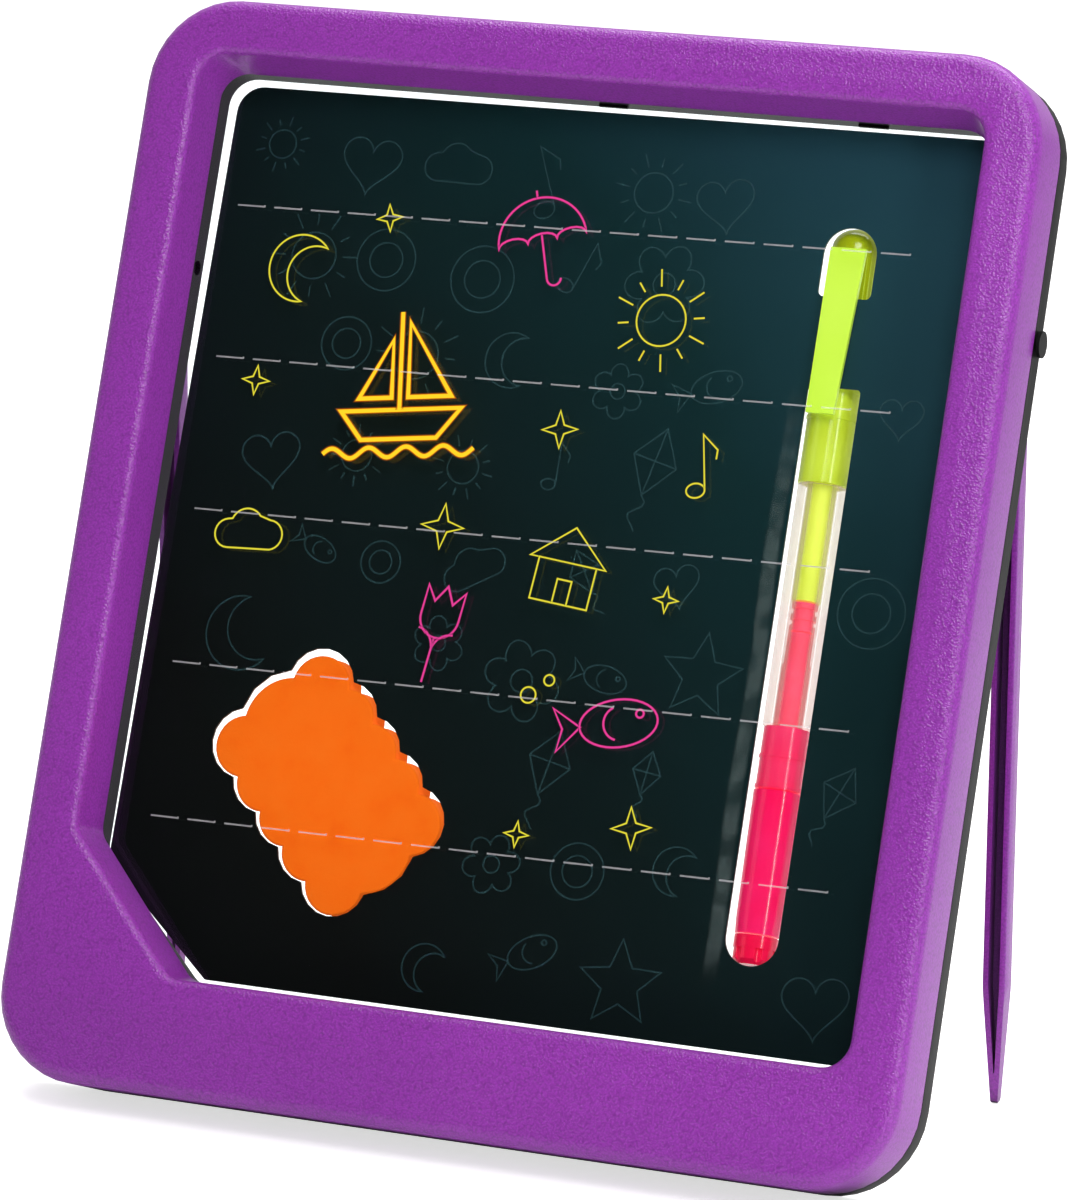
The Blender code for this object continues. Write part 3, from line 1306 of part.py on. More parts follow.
def make_pink_end(pen, look):
    """The nib holder on the barrel's lower neck, the cap over it, and the plug in the cap's end."""
    low_neck, _ = necks()
    bore = HOLDER_RADIUS - HOLDER_WALL
    foot = PINK_CAP_TOP + GAP
    holder = [(bore, HOLDER_TOP), (HOLDER_RADIUS, HOLDER_TOP)]
    for ring in HOLDER_RINGS:
        holder += ring_step(HOLDER_RADIUS, ring)
    holder += [
        (HOLDER_RADIUS, foot),
        (HOLDER_NECK_RADIUS, foot),
        (HOLDER_NECK_RADIUS, foot - HOLDER_NECK_REACH),
        (NIB_RADIUS + GAP, foot - HOLDER_NECK_REACH),
        (NIB_RADIUS + GAP, low_neck - GAP),
        (bore, low_neck - GAP),
        (bore, HOLDER_TOP),
    ]
    turned(holder, "nib_holder", look, pen)

    floor = PLUG_TOP + CAP_END
    cap = [
        (CAP_BORE, PINK_CAP_TOP),
        (PINK_RADIUS, PINK_CAP_TOP),
        (PINK_END_RADIUS, floor),
        (PINK_END_RADIUS - RING_STEP, PLUG_TOP),
        (0, PLUG_TOP),
        (0, floor),
        (PINK_END_RADIUS - HOLDER_WALL, floor),
        (CAP_BORE, PINK_CAP_TOP),
    ]
    turned(cap, "pink_cap", look, pen)

    plug_top = PLUG_TOP - GAP
    radius = PINK_END_RADIUS - RING_STEP
    plug = [
        (0, plug_top),
        (radius, plug_top),
        (radius, PLUG_STEP_HEIGHT),
        (radius - RING_STEP, PLUG_STEP_HEIGHT),
        (radius - RING_STEP, PLUG_ROUND),
        (radius - RING_STEP - PLUG_ROUND, 0),
        (0, 0),
    ]
    end = turned(plug, "pen_end_plug", look, pen)
    for n in range(FLUTE_COUNT):
        angle = 2 * math.pi * n / FLUTE_COUNT
        place = (radius * math.cos(angle), radius * math.sin(angle), 0)
        flute = rod("Z", place, FLUTE_RADIUS, -OVERRUN, PLUG_STEP_HEIGHT, TINY_SIDES)
        combine(end, flute, f"flute_{n + 1}")


def board_angles():
    """The lean at which the cover's bottom edge and both leg tips touch the floor together."""
    opened = math.radians(LEG_OPEN_DEG)
    reach = LEG_LENGTH - LEG_TIP_RADIUS
    offset = LEG_BACK - LEG_TIP_RADIUS
    tip_y = PIVOT_Y + reach * math.sin(opened) + offset * math.cos(opened)
    tip_z = PIVOT_Z - reach * math.cos(opened) + offset * math.sin(opened)
    edge_y = BOARD_DEPTH - COVER_FILLET
    span = math.hypot(tip_y - edge_y, tip_z - COVER_FILLET)
    lean = math.atan2(tip_z - COVER_FILLET, tip_y - edge_y)
    lean += math.asin((COVER_FILLET - LEG_TIP_RADIUS) / span)
    height = COVER_FILLET + edge_y * math.sin(lean) - COVER_FILLET * math.cos(lean)
    return lean, height


clear_scene()
PARTS = new_collection(MODEL_NAME)
CUTTERS = new_collection("cutters")

LOOKS = {
    "purple": material("purple plastic", (0.33, 0.09, 0.42), 0.45),
    "black": material("black plastic", (0.02, 0.02, 0.02), 0.35),
    "clear": material("clear acrylic", (0.9, 0.95, 0.95), 0.03, 0.0, 0.2),
    "card": material("printed card", (0.01, 0.03, 0.035), 0.3),
    "foam": material("orange foam", (0.95, 0.25, 0.02), 0.9),
    "steel": material("steel", (0.6, 0.6, 0.62), 0.3, 1.0),
    "battery": material("battery sleeve", (0.05, 0.2, 0.1), 0.4),
    "circuit": material("circuit board", (0.02, 0.2, 0.06), 0.5),
    "button": material("button rubber", (0.5, 0.15, 0.6), 0.6),
    "lamp": material("lamp", (0.9, 0.9, 0.7), 0.3),
    "red_wire": material("red wire", (0.6, 0.02, 0.02), 0.5),
    "black_wire": material("black wire", (0.02, 0.02, 0.02), 0.5),
    "frosted": material("frosted plastic", (0.85, 0.75, 0.68), 0.4, 0.0, 0.5),
    "yellow_ink": material("yellow ink", (0.8, 0.9, 0.1), 0.8),
    "pink_ink": material("pink ink", (0.95, 0.1, 0.35), 0.8),
    "lime": material("lime plastic", (0.75, 1.0, 0.05), 0.3),
    "pink": material("pink plastic", (1.0, 0.05, 0.25), 0.3),
}

LEAN, REST_HEIGHT = board_angles()
BACK_REACH = BOARD_DEPTH * math.cos(LEAN) + BOARD_HEIGHT * math.sin(LEAN)
FRONT_REACH = BEZEL_FILLET * (math.cos(LEAN) + math.sin(LEAN) - 1)
BACK_ROUND = COVER_FILLET * (math.cos(LEAN) + math.sin(LEAN) - 1)
MIDDLE = (BACK_REACH - BACK_ROUND + FRONT_REACH) / 2

board_place = bpy.data.objects.new("board_place", None)
PARTS.objects.link(board_place)
board_place.location = (0, -MIDDLE, REST_HEIGHT)
board_place.rotation_euler = (-LEAN, 0, 0)

make_bezel(board_place, LOOKS["purple"])
make_panel(board_place, LOOKS["clear"])
make_card(board_place, LOOKS["card"])
make_pad(board_place, LOOKS["foam"])
make_cover(board_place, LOOKS["black"])
make_leg("leg_left", -1, board_place, LOOKS["purple"], LOOKS["black"])
make_leg("leg_right", 1, board_place, LOOKS["purple"], LOOKS["black"])
make_screws(board_place, LOOKS["steel"])
make_batteries(board_place, LOOKS)
make_door(board_place, LOOKS)
make_electronics(board_place, LOOKS)
make_light_strip(board_place, LOOKS)
make_wires(board_place, LOOKS)
make_pen(board_place, LOOKS)
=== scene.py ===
"""Looks for the glow drawing board: finishes, neon drawings on the clear panel, foam pad, light, camera."""

import math
import random

import bmesh
import bpy
from mathutils import Matrix, Vector, noise


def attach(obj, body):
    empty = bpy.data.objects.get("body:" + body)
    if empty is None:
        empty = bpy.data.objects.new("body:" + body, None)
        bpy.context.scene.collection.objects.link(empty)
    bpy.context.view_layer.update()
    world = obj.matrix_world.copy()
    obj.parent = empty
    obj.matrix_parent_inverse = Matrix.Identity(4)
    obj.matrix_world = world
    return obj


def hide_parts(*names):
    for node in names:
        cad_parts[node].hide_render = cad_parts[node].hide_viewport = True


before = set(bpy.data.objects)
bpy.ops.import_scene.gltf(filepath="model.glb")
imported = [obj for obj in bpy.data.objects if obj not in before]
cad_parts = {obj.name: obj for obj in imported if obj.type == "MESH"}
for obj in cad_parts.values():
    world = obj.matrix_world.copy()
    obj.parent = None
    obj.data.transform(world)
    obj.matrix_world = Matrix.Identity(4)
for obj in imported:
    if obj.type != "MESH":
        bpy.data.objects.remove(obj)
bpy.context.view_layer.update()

MM = 0.001

# The board's own axes: x right, y from front to back, z up the board
LEAN = math.radians(23.4305)
BOARD_PLACE = Vector((0, -54.683 * MM, 8.035 * MM))
BOARD = Matrix.Translation(BOARD_PLACE) @ Matrix.Rotation(-LEAN, 4, "X")
BOARD_BACKWARD = Vector((0, math.cos(LEAN), -math.sin(LEAN)))
PANEL_FRONT = 11.1 * MM
CARD_FRONT = 15.3 * MM

# Marker: what lies in front of this plane is clip, and what lies above this height is closed end
CLIP_BACK = 15.6 * MM
CAP_END = 176.0 * MM

# Drawn and printed lines: how far they lie in front of their sheet, and half their widths
LINE_LIFT = 0.05 * MM
FINE_HALF_WIDTH = 0.34 * MM
BOLD_HALF_WIDTH = 0.95 * MM
PINK_HALF_WIDTH = 0.42 * MM
PRINT_HALF_WIDTH = 0.18 * MM

# The points across a line, in half widths, and what keeps the mitre of a sharp turn short
RIBBON_SIDES = (-1, -0.5, 0, 0.5, 1)
LEAST_CORNER = 0.45

# Guide lines on the panel
DASH = 6.1 * MM
DASH_PITCH = 8.25 * MM
DASH_COUNT = 18
DASH_HALF_WIDTH = 0.17 * MM
TICK_HALF = 0.32 * MM
TICK_BELOW = 0.4
GUIDE_COUNT = 5
GUIDE_START = Vector((-73.8 * MM, 56.65 * MM))
GUIDE_STEP = Vector((-0.62 * MM, 31.84 * MM))
GUIDE_TURN = math.radians(0.61)

# Faint print on the card, in millimetres and degrees: its grid, and where nothing is printed
PRINT_SEED = 7
PRINT_ROWS = 9
PRINT_COLUMNS = 8
PRINT_START = (-72, 36)
PRINT_PITCH = (20.5, 20.0)
PRINT_STAGGER = 10
PRINT_SHIFT = 3
PRINT_SIZES = (5.0, 9.0)
PRINT_TURN = 30
PEN_COLUMN = (40, 70)
PAD_MIDDLE = (-37, 67)
PAD_CLEARANCE = 36
CARD_SIDES = (-72, 78)
CORNER_CUT = -17

# Scalloped pad, as the CAD cuts it, and how far its foam swells
PAD_X = -37.7 * MM
PAD_Z = 67.4 * MM
PAD_FRONT = 14.4 * MM
PAD_TURN = math.radians(-46.5)
PAD_HALF_LENGTH = 22.4 * MM
PAD_END_HALF = 6.4 * MM
PAD_HALF_WIDTH = 14.4 * MM
PAD_SCALLOP = 8.9 * MM
PAD_THICKNESS = 7.0 * MM
PAD_SWELL = 0.3 * MM
PAD_RIM = 0.45 * MM
PAD_WAIST = 0.15 * MM
PAD_UNEVEN = 0.06 * MM
PAD_RIPPLE = 2.5 * MM
BULGE_SHARES = [0.47, 0.18, 0.47, 0.24, 0.24, 0.24]
BULGE_STEPS = 14
RIM_STEPS = 4
CAP_INSETS = (2.2, 1.3)
SIDE_LEVELS = (0.2, 0.35, 0.5, 0.65, 0.8)

# Painted glare beside the pen slot: a painted reflection laid on the card as a grey band
SLOT_LEFT = 51.4 * MM
GLARE_LOW = 37.0 * MM
GLARE_HIGH = 158.0 * MM
GLARE_HALF_WIDTH = 1.9 * MM
GLARE_GAP = 0.25 * MM
GLARE_SEED = 3
GLARE_STEPS = 40
GLARE_WANDER = 0.3 * MM
GLARE_WAVE = 0.37
GLARE_SHAKE = 0.08 * MM
GLARE_TOP_FADE = 16 * MM
GLARE_LOW_FADE = 8 * MM

# Leather grain of the purple plastic: it is deepest on the front, and weaker behind it
LEATHER_CELLS = 2300.0
LEATHER_WARP = 900.0
LEATHER_BEND = 0.5 * MM
LEATHER_HEIGHT = 0.36 * MM
LEATHER_FRONT = 0.2 * MM
LEATHER_SLOPE = 2.5 * MM
FRONT_GRAIN = 0.5
SLOPE_GRAIN = 0.1
# The grain in the colour: cell middles painted lighter as painted highlights, cell edges darker as painted
# shade
PAINTED_GRAIN_HIGHLIGHT = 1.26
PAINTED_GRAIN_SHADE = 0.78

# Other surfaces; cells are so many to a metre
# How far the painted shade in the purple plastic's recesses reaches
PAINTED_SHADE_REACH = 9 * MM
GLOSS_DRIFT = 0.05
FINE_CELLS = 900.0
FINE_HEIGHT = 0.15 * MM
FOAM_CELLS = 2300.0
FOAM_HEIGHT = 0.08 * MM
MIRROR_SHARE = 0.03
HALO_BLEND = 0.12
INK_WEAR = 0.85
DULL = 0.08
CREASE = math.radians(32)
WELD_DISTANCE = 0.001 * MM

# Floor, and the surroundings: (y, strength) towards the camera's side, and behind the object
FLOOR_SIZE = 8
FLOOR_GLOW = 0.66
DARK_SIDE = (-0.35, 0.015)
BRIGHT_SIDE = (0.5, 0.7)

# Lights: place, aim and size in metres, power in watts
LIGHTS = {
    "key": ((0.32, -0.5, 0.78), (0.04, 0, 0.14), (0.4, 0.4), 4.1),
    "top": ((-0.15, -0.2, 1.5), (0, 0, 0.1), (0.6, 0.35), 3.5),
    "back": ((0.05, 0.55, 1.15), (0, 0, 0.12), (1.1, 0.35), 9),
    "strip": ((1.0, -0.64, 0.35), (0.03, 0, 0.12), (0.06, 1.0), 4.5),
    "fill": ((-1.4, -1.0, 0.9), (0, 0, 0.1), (0.9, 0.9), 1.4),
}

# Camera, in the board's own axes
CAMERA_AT = (467.5 * MM, -1154.2 * MM, -29.8 * MM)
CAMERA_AZIMUTH = math.radians(22.47)
CAMERA_ELEVATION = math.radians(15.43)
CAMERA_LENS = 189.0


# Shader nodes


class Shading:
    """A node tree, with short ways to add nodes and to join them."""

    def __init__(self, tree):
        self.nodes = tree.nodes
        self.links = tree.links

    def feed(self, node, key, value):
        """Set an input of a node to a plain value, or join it to another node's output."""
        socket = node.inputs[key]
        if isinstance(value, bpy.types.NodeSocket):
            self.links.new(value, socket)
        else:
            socket.default_value = value

    def add(self, kind, inputs=None, **settings):
        """A new node with its settings, and with its inputs by name or by number."""
        node = self.nodes.new(f"ShaderNode{kind}")
        for key, value in settings.items():
            setattr(node, key, value)
        for key, value in (inputs or {}).items():
            self.feed(node, key, value)
        return node

    def place(self):
        """Where each point lies on its object."""
        return self.add("TexCoord").outputs["Object"]

    def across(self):
        """How near each point of a drawn line is to the line's middle, from 0 to 1."""
        return self.add("Attribute", attribute_name="across").outputs["Fac"]

    def facing(self):
        """0 where a surface faces the eye, 1 where it is seen edge on."""
        return self.add("LayerWeight").outputs["Facing"]

    def noise(self, place, scale, detail=2.0):
        return self.add("TexNoise", {"Vector": place, "Scale": scale, "Detail": detail})

    def drift(self, place, scale, detail=2.0):
        """A slow, uneven change around 0.5."""
        return self.noise(place, scale, detail).outputs["Fac"]

    def cells(self, place, scale, feature="F1"):
        """How far each point is from the middle of its cell."""
        node = self.add("TexVoronoi", {"Vector": place, "Scale": scale}, feature=feature)
        return node.outputs["Distance"]

    def ramp(self, share, *stops):
        """Colours along a share of 0 to 1; each stop is a share and its colour."""
        node = self.add("ValToRGB", {"Fac": share})
        elements = node.color_ramp.elements
        while len(elements) < len(stops):
            elements.new(0.5)
        for element, (place, colour) in zip(elements, stops):
            element.position = place
            element.color = (*colour, 1)
        return node.outputs["Color"]

    def two_tone(self, share, dark, light):
        return self.ramp(share, (0.3, dark), (0.7, light))

    def mix(self, share, first, second, blend="MIX"):
        inputs = {"Factor": share, "A": first, "B": second}
        return self.add("Mix", inputs, data_type="RGBA", blend_type=blend).outputs["Result"]

    def spread(self, value, low, high, to_low, to_high, blend="LINEAR"):
        """What lies from low to high, moved to lie from to_low to to_high."""
        inputs = {"Value": value, "From Min": low, "From Max": high, "To Min": to_low, "To Max": to_high}
        return self.add("MapRange", inputs, interpolation_type=blend).outputs["Result"]

    def maths(self, operation, *values):
        return self.add("Math", dict(enumerate(values)), operation=operation).outputs["Value"]

    def dot(self, first, second):
        return self.add("VectorMath", {0: first, 1: second}, operation="DOT_PRODUCT").outputs["Value"]


class Look(Shading):
    """A material and its surface shader."""

    def __init__(self, name):
        self.material = bpy.data.materials.new(name)
        self.material.use_nodes = True
        super().__init__(self.material.node_tree)
        self.shader = self.nodes["Principled BSDF"]

    def surface(self, inputs):
        for key, value in inputs.items():
            self.feed(self.shader, key, value)

    def bump(self, height, distance, strength):
        inputs = {"Height": height, "Distance": distance, "Strength": strength}
        self.surface({"Normal": self.add("Bump", inputs).outputs["Normal"]})

    def over_clear(self, share, top, tint=(1, 1, 1, 1)):
        """Show the top shader by its share of 0 to 1, and what is behind the surface by the rest."""
        self.nodes.remove(self.shader)
        clear = self.add("BsdfTransparent", {"Color": tint})
        mixed = self.add("MixShader", {"Fac": share, 1: clear.outputs["BSDF"], 2: top})
        self.feed(self.nodes["Material Output"], "Surface", mixed.outputs["Shader"])


# Materials


def linear(r, g, b):
    """An sRGB colour in 0 to 255 as linear values."""
    return tuple(((c / 255 + 0.055) / 1.055) ** 2.4 if c > 10 else c / 255 / 12.92 for c in (r, g, b))


def plastic(name, dark, light, roughness, spots=60.0, grain=0.0, glow=0.0):
    """A moulded plastic: slow colour drift, slightly uneven gloss and an optional fine grain."""
    look = Look(name)
    place = look.place()
    drift = look.drift(place, spots, 3.0)
    colour = look.two_tone(drift, dark, light)
    uneven = look.spread(drift, 0.0, 1.0, roughness - GLOSS_DRIFT, roughness + GLOSS_DRIFT)
    look.surface({"Base Color": colour, "Roughness": uneven})
    # Glow gives a part a weak light of its own; on the neon plastics and inks it stands partly for their
    # fluorescence and partly for painted light that brightens them
    if glow:
        look.surface({"Emission Color": colour, "Emission Strength": glow})
    if grain:
        look.bump(look.cells(place, FINE_CELLS), FINE_HEIGHT, grain)
    return look


def grained_purple(name, painted_shade_colour):
    """Purple plastic with a leather grain on the flat front and smoother slopes; painted shade darkens its
    recesses, and the grain carries painted highlights and shade.
    """
    look = Look(name)
    place = look.place()
    colour = look.two_tone(look.drift(place, 14.0), linear(140, 50, 162), linear(150, 56, 172))
    # Painted shade: ambient occlusion darkens the colour in recesses, down to the painted shade colour
    recess = look.add("AmbientOcclusion", {"Distance": PAINTED_SHADE_REACH}, samples=8)
    shade = look.ramp(recess.outputs["AO"], (0.1, painted_shade_colour), (0.7, (1, 1, 1)))
    shaded = look.mix(1.0, colour, shade, "MULTIPLY")
    front, slope = (BOARD_PLACE.dot(BOARD_BACKWARD) + depth for depth in (LEATHER_FRONT, LEATHER_SLOPE))
    strength = look.spread(look.dot(place, BOARD_BACKWARD), front, slope, FRONT_GRAIN, SLOPE_GRAIN)
    warp = look.noise(place, LEATHER_WARP).outputs["Color"]
    bend = {0: warp, 1: [LEATHER_BEND] * 3, 2: place}
    bent = look.add("VectorMath", bend, operation="MULTIPLY_ADD")
    grain = look.cells(bent.outputs["Vector"], LEATHER_CELLS, "SMOOTH_F1")
    look.bump(grain, LEATHER_HEIGHT, strength)
    # Painted highlight and shade on the grain: the colour is lighter at the cells' middles and darker at
    # their edges
    grain_highlight_and_shade = look.spread(grain, 0.1, 0.75, PAINTED_GRAIN_HIGHLIGHT, PAINTED_GRAIN_SHADE)
    grained = look.add("VectorMath", {0: shaded, "Scale": grain_highlight_and_shade}, operation="SCALE")
    look.surface({"Base Color": grained.outputs["Vector"], "Roughness": 0.3})
    return look


def clear_acrylic():
    """Clear sheet: what is behind it shows, with the weak mirror of a polished surface."""
    look = Look("clear acrylic")
    smear = look.drift(look.place(), 12.0, 4.0)
    mirror = look.add("BsdfGlossy", {"Roughness": look.spread(smear, 0.0, 1.0, 0.01, 0.06)})
    steep = look.maths("POWER", look.facing(), 5.0)
    share = look.maths("MULTIPLY_ADD", steep, 1 - MIRROR_SHARE, MIRROR_SHARE)
    look.over_clear(share, mirror.outputs["BSDF"], (0.97, 0.99, 0.99, 1))
    return look


def printed_card():
    """Near-black print that turns to dark teal towards the upper right, with pale cut edges."""
    look = Look("printed card")
    coords = look.add("TexCoord")
    place = coords.outputs["Object"]
    mottle = look.drift(place, 18.0)
    share = look.maths("MULTIPLY_ADD", mottle, 0.12, look.dot(place, (3.4, 0, 3.0)))
    colour = look.ramp(
        share,
        (0.05, linear(9, 12, 11)),
        (0.35, linear(10, 27, 28)),
        (0.6, linear(13, 45, 48)),
        (0.95, linear(40, 79, 93)),
    )
    face_on = look.maths("ABSOLUTE", look.dot(coords.outputs["Normal"], BOARD_BACKWARD))
    is_face = look.maths("GREATER_THAN", face_on, 0.5)
    edged = look.mix(is_face, (*linear(120, 118, 110), 1), colour)
    look.surface({"Base Color": edged, "Roughness": 0.6, "Specular IOR Level": DULL})
    return look


def cut_foam():
    """Orange foam: fine open cells, a slow shift in its orange, and a weak painted glow."""
    look = Look("orange foam")
    place = look.place()
    colour = look.ramp(
        look.drift(place, 160.0, 5.0),
        (0.25, linear(250, 102, 12)),
        (0.45, linear(255, 109, 16)),
        (0.8, linear(255, 114, 22)),
    )
    look.bump(look.cells(place, FOAM_CELLS), FOAM_HEIGHT, 0.35)
    # Painted glow: the foam gives a weak light of its own, so it shows brighter than the lamps light it
    look.surface({"Base Color": colour, "Emission Color": colour, "Emission Strength": 0.22})
    look.surface({"Roughness": 0.95, "Specular IOR Level": 0.1})
    return look


def frosted():
    """Milky barrel: clear enough to show the ink in its middle, whiter where the wall is seen edge on."""
    # The barrel's glow is painted light; its milky plastic gives no light of its own
    look = plastic("frosted plastic", linear(234, 208, 190), linear(242, 220, 202), 0.3, glow=0.14)
    look.surface({"Alpha": look.spread(look.facing(), 0.15, 0.3, 0.05, 0.46)})
    return look


def glowing(name, core, halo, strength, edge):
    """Lit ink: the core colour in the middle of each line, the halo fading to nothing at its edges."""
    look = Look(name)
    across = look.across()
    inner = edge + HALO_BLEND
    colour = look.ramp(across, (0.0, halo), (edge, halo), (inner, core))
    share = look.maths("POWER", look.spread(across, 0.0, inner, 0.0, 1.0, "SMOOTHERSTEP"), 2.2)
    light = look.add("Emission", {"Color": colour, "Strength": strength})
    look.over_clear(share, light.outputs["Emission"])
    return look


def printed_line(name, colour, alpha):
    """A thin translucent print with slightly worn ink."""
    look = Look(name)
    worn = tuple(c * INK_WEAR for c in colour)
    ink = look.two_tone(look.drift(look.place(), 260.0), worn, colour)
    look.surface({"Base Color": ink, "Roughness": 0.6, "Alpha": alpha})
    return look


def painted_glare(colour, alpha):
    """A grey painted reflection that breaks up along its length and fades out at its sides and ends."""
    look = printed_line("glare_look", colour, 1.0)
    place = look.place()
    height = look.add("SeparateXYZ", {"Vector": place}).outputs["Z"]
    patchy = look.spread(look.drift(place, 210.0, 4.0), 0.38, 0.6, 0.3 * alpha, alpha)
    sides = look.spread(look.across(), 0.0, 0.45, 0.0, 1.0)
    top_end = look.spread(height, GLARE_HIGH - GLARE_TOP_FADE, GLARE_HIGH, 1.0, 0.0)
    low_end = look.spread(height, GLARE_LOW, GLARE_LOW + GLARE_LOW_FADE, 0.0, 1.0)
    ends = look.maths("MULTIPLY", top_end, low_end)
    faded = look.maths("MULTIPLY", look.maths("MULTIPLY", patchy, sides), ends)
    look.surface({"Alpha": faded})
    return look


# Lines: flat ribbons that know how near each point is to their middle


def show(obj):
    bpy.context.scene.collection.objects.link(obj)
    return obj


def ribbon(points, closed, half_width):
    """For each point of a line, the places across its width, mitred where it turns."""
    count = len(points)
    rows = []
    for i in range(count):
        here = Vector(points[i])
        before = Vector(points[i - 1]) if closed or i > 0 else here
        after = Vector(points[(i + 1) % count]) if closed or i < count - 1 else here
        into = (here - before).normalized() if (here - before).length > 0 else (after - here).normalized()
        out = (after - here).normalized() if (after - here).length > 0 else into
        side = Vector((-into.y, into.x))
        normal = Vector((-into.y - out.y, into.x + out.x))
        if normal.length < 1e-6:
            normal = side.copy()
        normal.normalize()
        stretch = 1 / max(LEAST_CORNER, normal.dot(side))
        rows.append([here + normal * (half_width * share * stretch) for share in RIBBON_SIDES])
    return rows


def lines(name, paths, half_width, y, look):
    """One piece of flat lines in a plane of the board, from paths of (points, closed) in metres."""
    vertices, faces, across = [], [], []
    for points, closed in paths:
        rows = []
        for row in ribbon(points, closed, half_width):
            rows.append(range(len(vertices), len(vertices) + len(row)))
            vertices += [(place.x, y, place.y) for place in row]
            across += [1.0 - abs(share) for share in RIBBON_SIDES]
        following = rows[1:] + rows[:1] if closed else rows[1:]
        for low, high in zip(rows, following):
            faces += [(low[k], low[k + 1], high[k + 1], high[k]) for k in range(len(low) - 1)]
    mesh = bpy.data.meshes.new(name)
    mesh.from_pydata(vertices, [], faces)
    mesh.attributes.new("across", "FLOAT", "POINT").data.foreach_set("value", across)
    mesh.materials.append(look.material)
    obj = show(bpy.data.objects.new(name, mesh))
    obj.matrix_world = BOARD
    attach(obj, "board")


# Motifs, each a list of (points, closed) in millimetres about its own centre


def arc(x, z, radius, start, end, squash=1.0, steps=24):
    angles = [math.radians(start + (end - start) * k / steps) for k in range(steps + 1)]
    return [(x + radius * math.cos(a), z + radius * squash * math.sin(a)) for a in angles]


def ring(radius, x=0.0, z=0.0, squash=1.0):
    return [(arc(x, z, radius, 0, 360, squash, steps=36)[:-1], True)]


def scaled(size, points):
    return [(x * size, z * size) for x, z in points]


def spiked(size, count, waist):
    """A star with so many points, drawn in between them to a share of its size."""
    points = []
    for k in range(2 * count):
        radius = size if k % 2 == 0 else size * waist
        angle = math.pi / 2 + k * math.pi / count
        points.append((radius * math.cos(angle), radius * math.sin(angle)))
    return [(points, True)]


def star(size):
    return spiked(size, 5, 0.45)


def sparkle(size):
    return spiked(size, 4, 0.34)


def double_ring(size):
    return ring(size * 0.8) + ring(size * 0.45)


def bubbles(size):
    return ring(size) + ring(size * 0.6875, size * 2.5, size * 2.125)


def heart(size):
    steps = 48
    points = []
    for k in range(steps):
        t = 2 * math.pi * k / steps
        x = math.sin(t) ** 3
        z = (13 * math.cos(t) - 5 * math.cos(2 * t) - 2 * math.cos(3 * t) - math.cos(4 * t)) / 16
        points.append((x * size, z * size))
    return [(points, True)]


def crescent(size):
    """A disc's left side, cut by an arc that meets it at its two tips."""
    tip = 60
    outer = arc(0, 0, size, tip, 360 - tip, steps=36)
    inner = arc(size * math.cos(math.radians(tip)), 0, size * math.sin(math.radians(tip)), 270, 90)
    return [(outer + inner[1:-1], True)]


def flower(size):
    petals = 6
    steps = 96
    points = []
    for k in range(steps):
        angle = 2 * math.pi * k / steps
        radius = size * (0.66 + 0.34 * abs(math.cos(petals * angle / 2)) ** 0.8)
        points.append((radius * math.cos(angle), radius * math.sin(angle)))
    return [(points, True)] + ring(size * 0.28)


def sun(size):
    rays = 12
    paths = ring(size * 0.5)
    for k in range(rays):
        angle = 2 * math.pi * k / rays
        near, far = size * 0.66, size * (1.0 if k % 2 else 0.88)
        paths.append(([(r * math.cos(angle), r * math.sin(angle)) for r in (near, far)], False))
    return paths


def cloud(size):
    points = arc(-size * 0.55, 0, size * 0.35, 270, 100, steps=12)
    points += arc(-size * 0.1, size * 0.22, size * 0.42, 160, 40, steps=12)
    points += arc(size * 0.5, size * 0.05, size * 0.36, 90, -78, steps=12)
    return [(points, True)]


def kite(size):
    tail = [(0.16 * math.sin(t * 1.1), -0.75 - 0.13 * t) for t in range(8)]
    return [
        (scaled(size, [(0, 1), (0.6, 0.15), (0, -0.75), (-0.6, 0.15)]), True),
        (scaled(size, tail), False),
        (scaled(size, [(0, 1), (0, -0.75)]), False),
        (scaled(size, [(-0.6, 0.15), (0.6, 0.15)]), False),
    ]


def note(size):
    head = ring(size * 0.26, -size * 0.3, -size * 0.7, 0.75)
    return head + [(scaled(size, [(-0.04, -0.7), (-0.04, 0.8), (0.35, 0.35), (0.3, 0.1)]), False)]


def boat(size):
    """A sailing boat on one line of waves."""
    waves = [(-1.1 + 0.025 * k, -0.93 + 0.07 * math.sin(k * 0.29)) for k in range(89)]
    return [
        (scaled(size, [(-0.85, -0.35), (0.9, -0.35), (0.55, -0.75), (-0.55, -0.75)]), True),
        (scaled(size, [(0, -0.35), (0, 1.0)]), False),
        (scaled(size, [(0.12, -0.18), (0.75, -0.18), (0.12, 0.85)]), True),
        (scaled(size, [(-0.12, -0.18), (-0.6, -0.18), (-0.12, 0.62)]), True),
        (scaled(size, waves), False),
    ]


def fish(size):
    body = ring(size * 0.72, size * 0.18, 0, 0.58)
    tail = (scaled(size, [(-0.53, 0), (-1.0, 0.38), (-0.86, 0), (-1.0, -0.38)]), True)
    gill = (arc(size * 0.2, 0, size * 0.3, 110, 250, steps=12), False)
    return body + [tail, gill] + ring(size * 0.07, size * 0.58, size * 0.13)


def umbrella(size):
    """A canopy with three scallops, its tip, and a handle that ends in a hook."""
    canopy = arc(0, 0, size, 180, 0, 0.95, 30)
    for centre in (0.667, 0.0, -0.667):
        canopy += arc(centre * size, 0, size / 3, 0, 180, 0.5, 8)[1:]
    handle = scaled(size, [(0, 0.16), (0, -0.85)])
    handle += arc(size * 0.16, -size * 0.85, size * 0.16, 180, 350, steps=10)
    return [(canopy[:-1], True), (handle, False), (scaled(size, [(0, 0.95), (0, 1.12)]), False)]


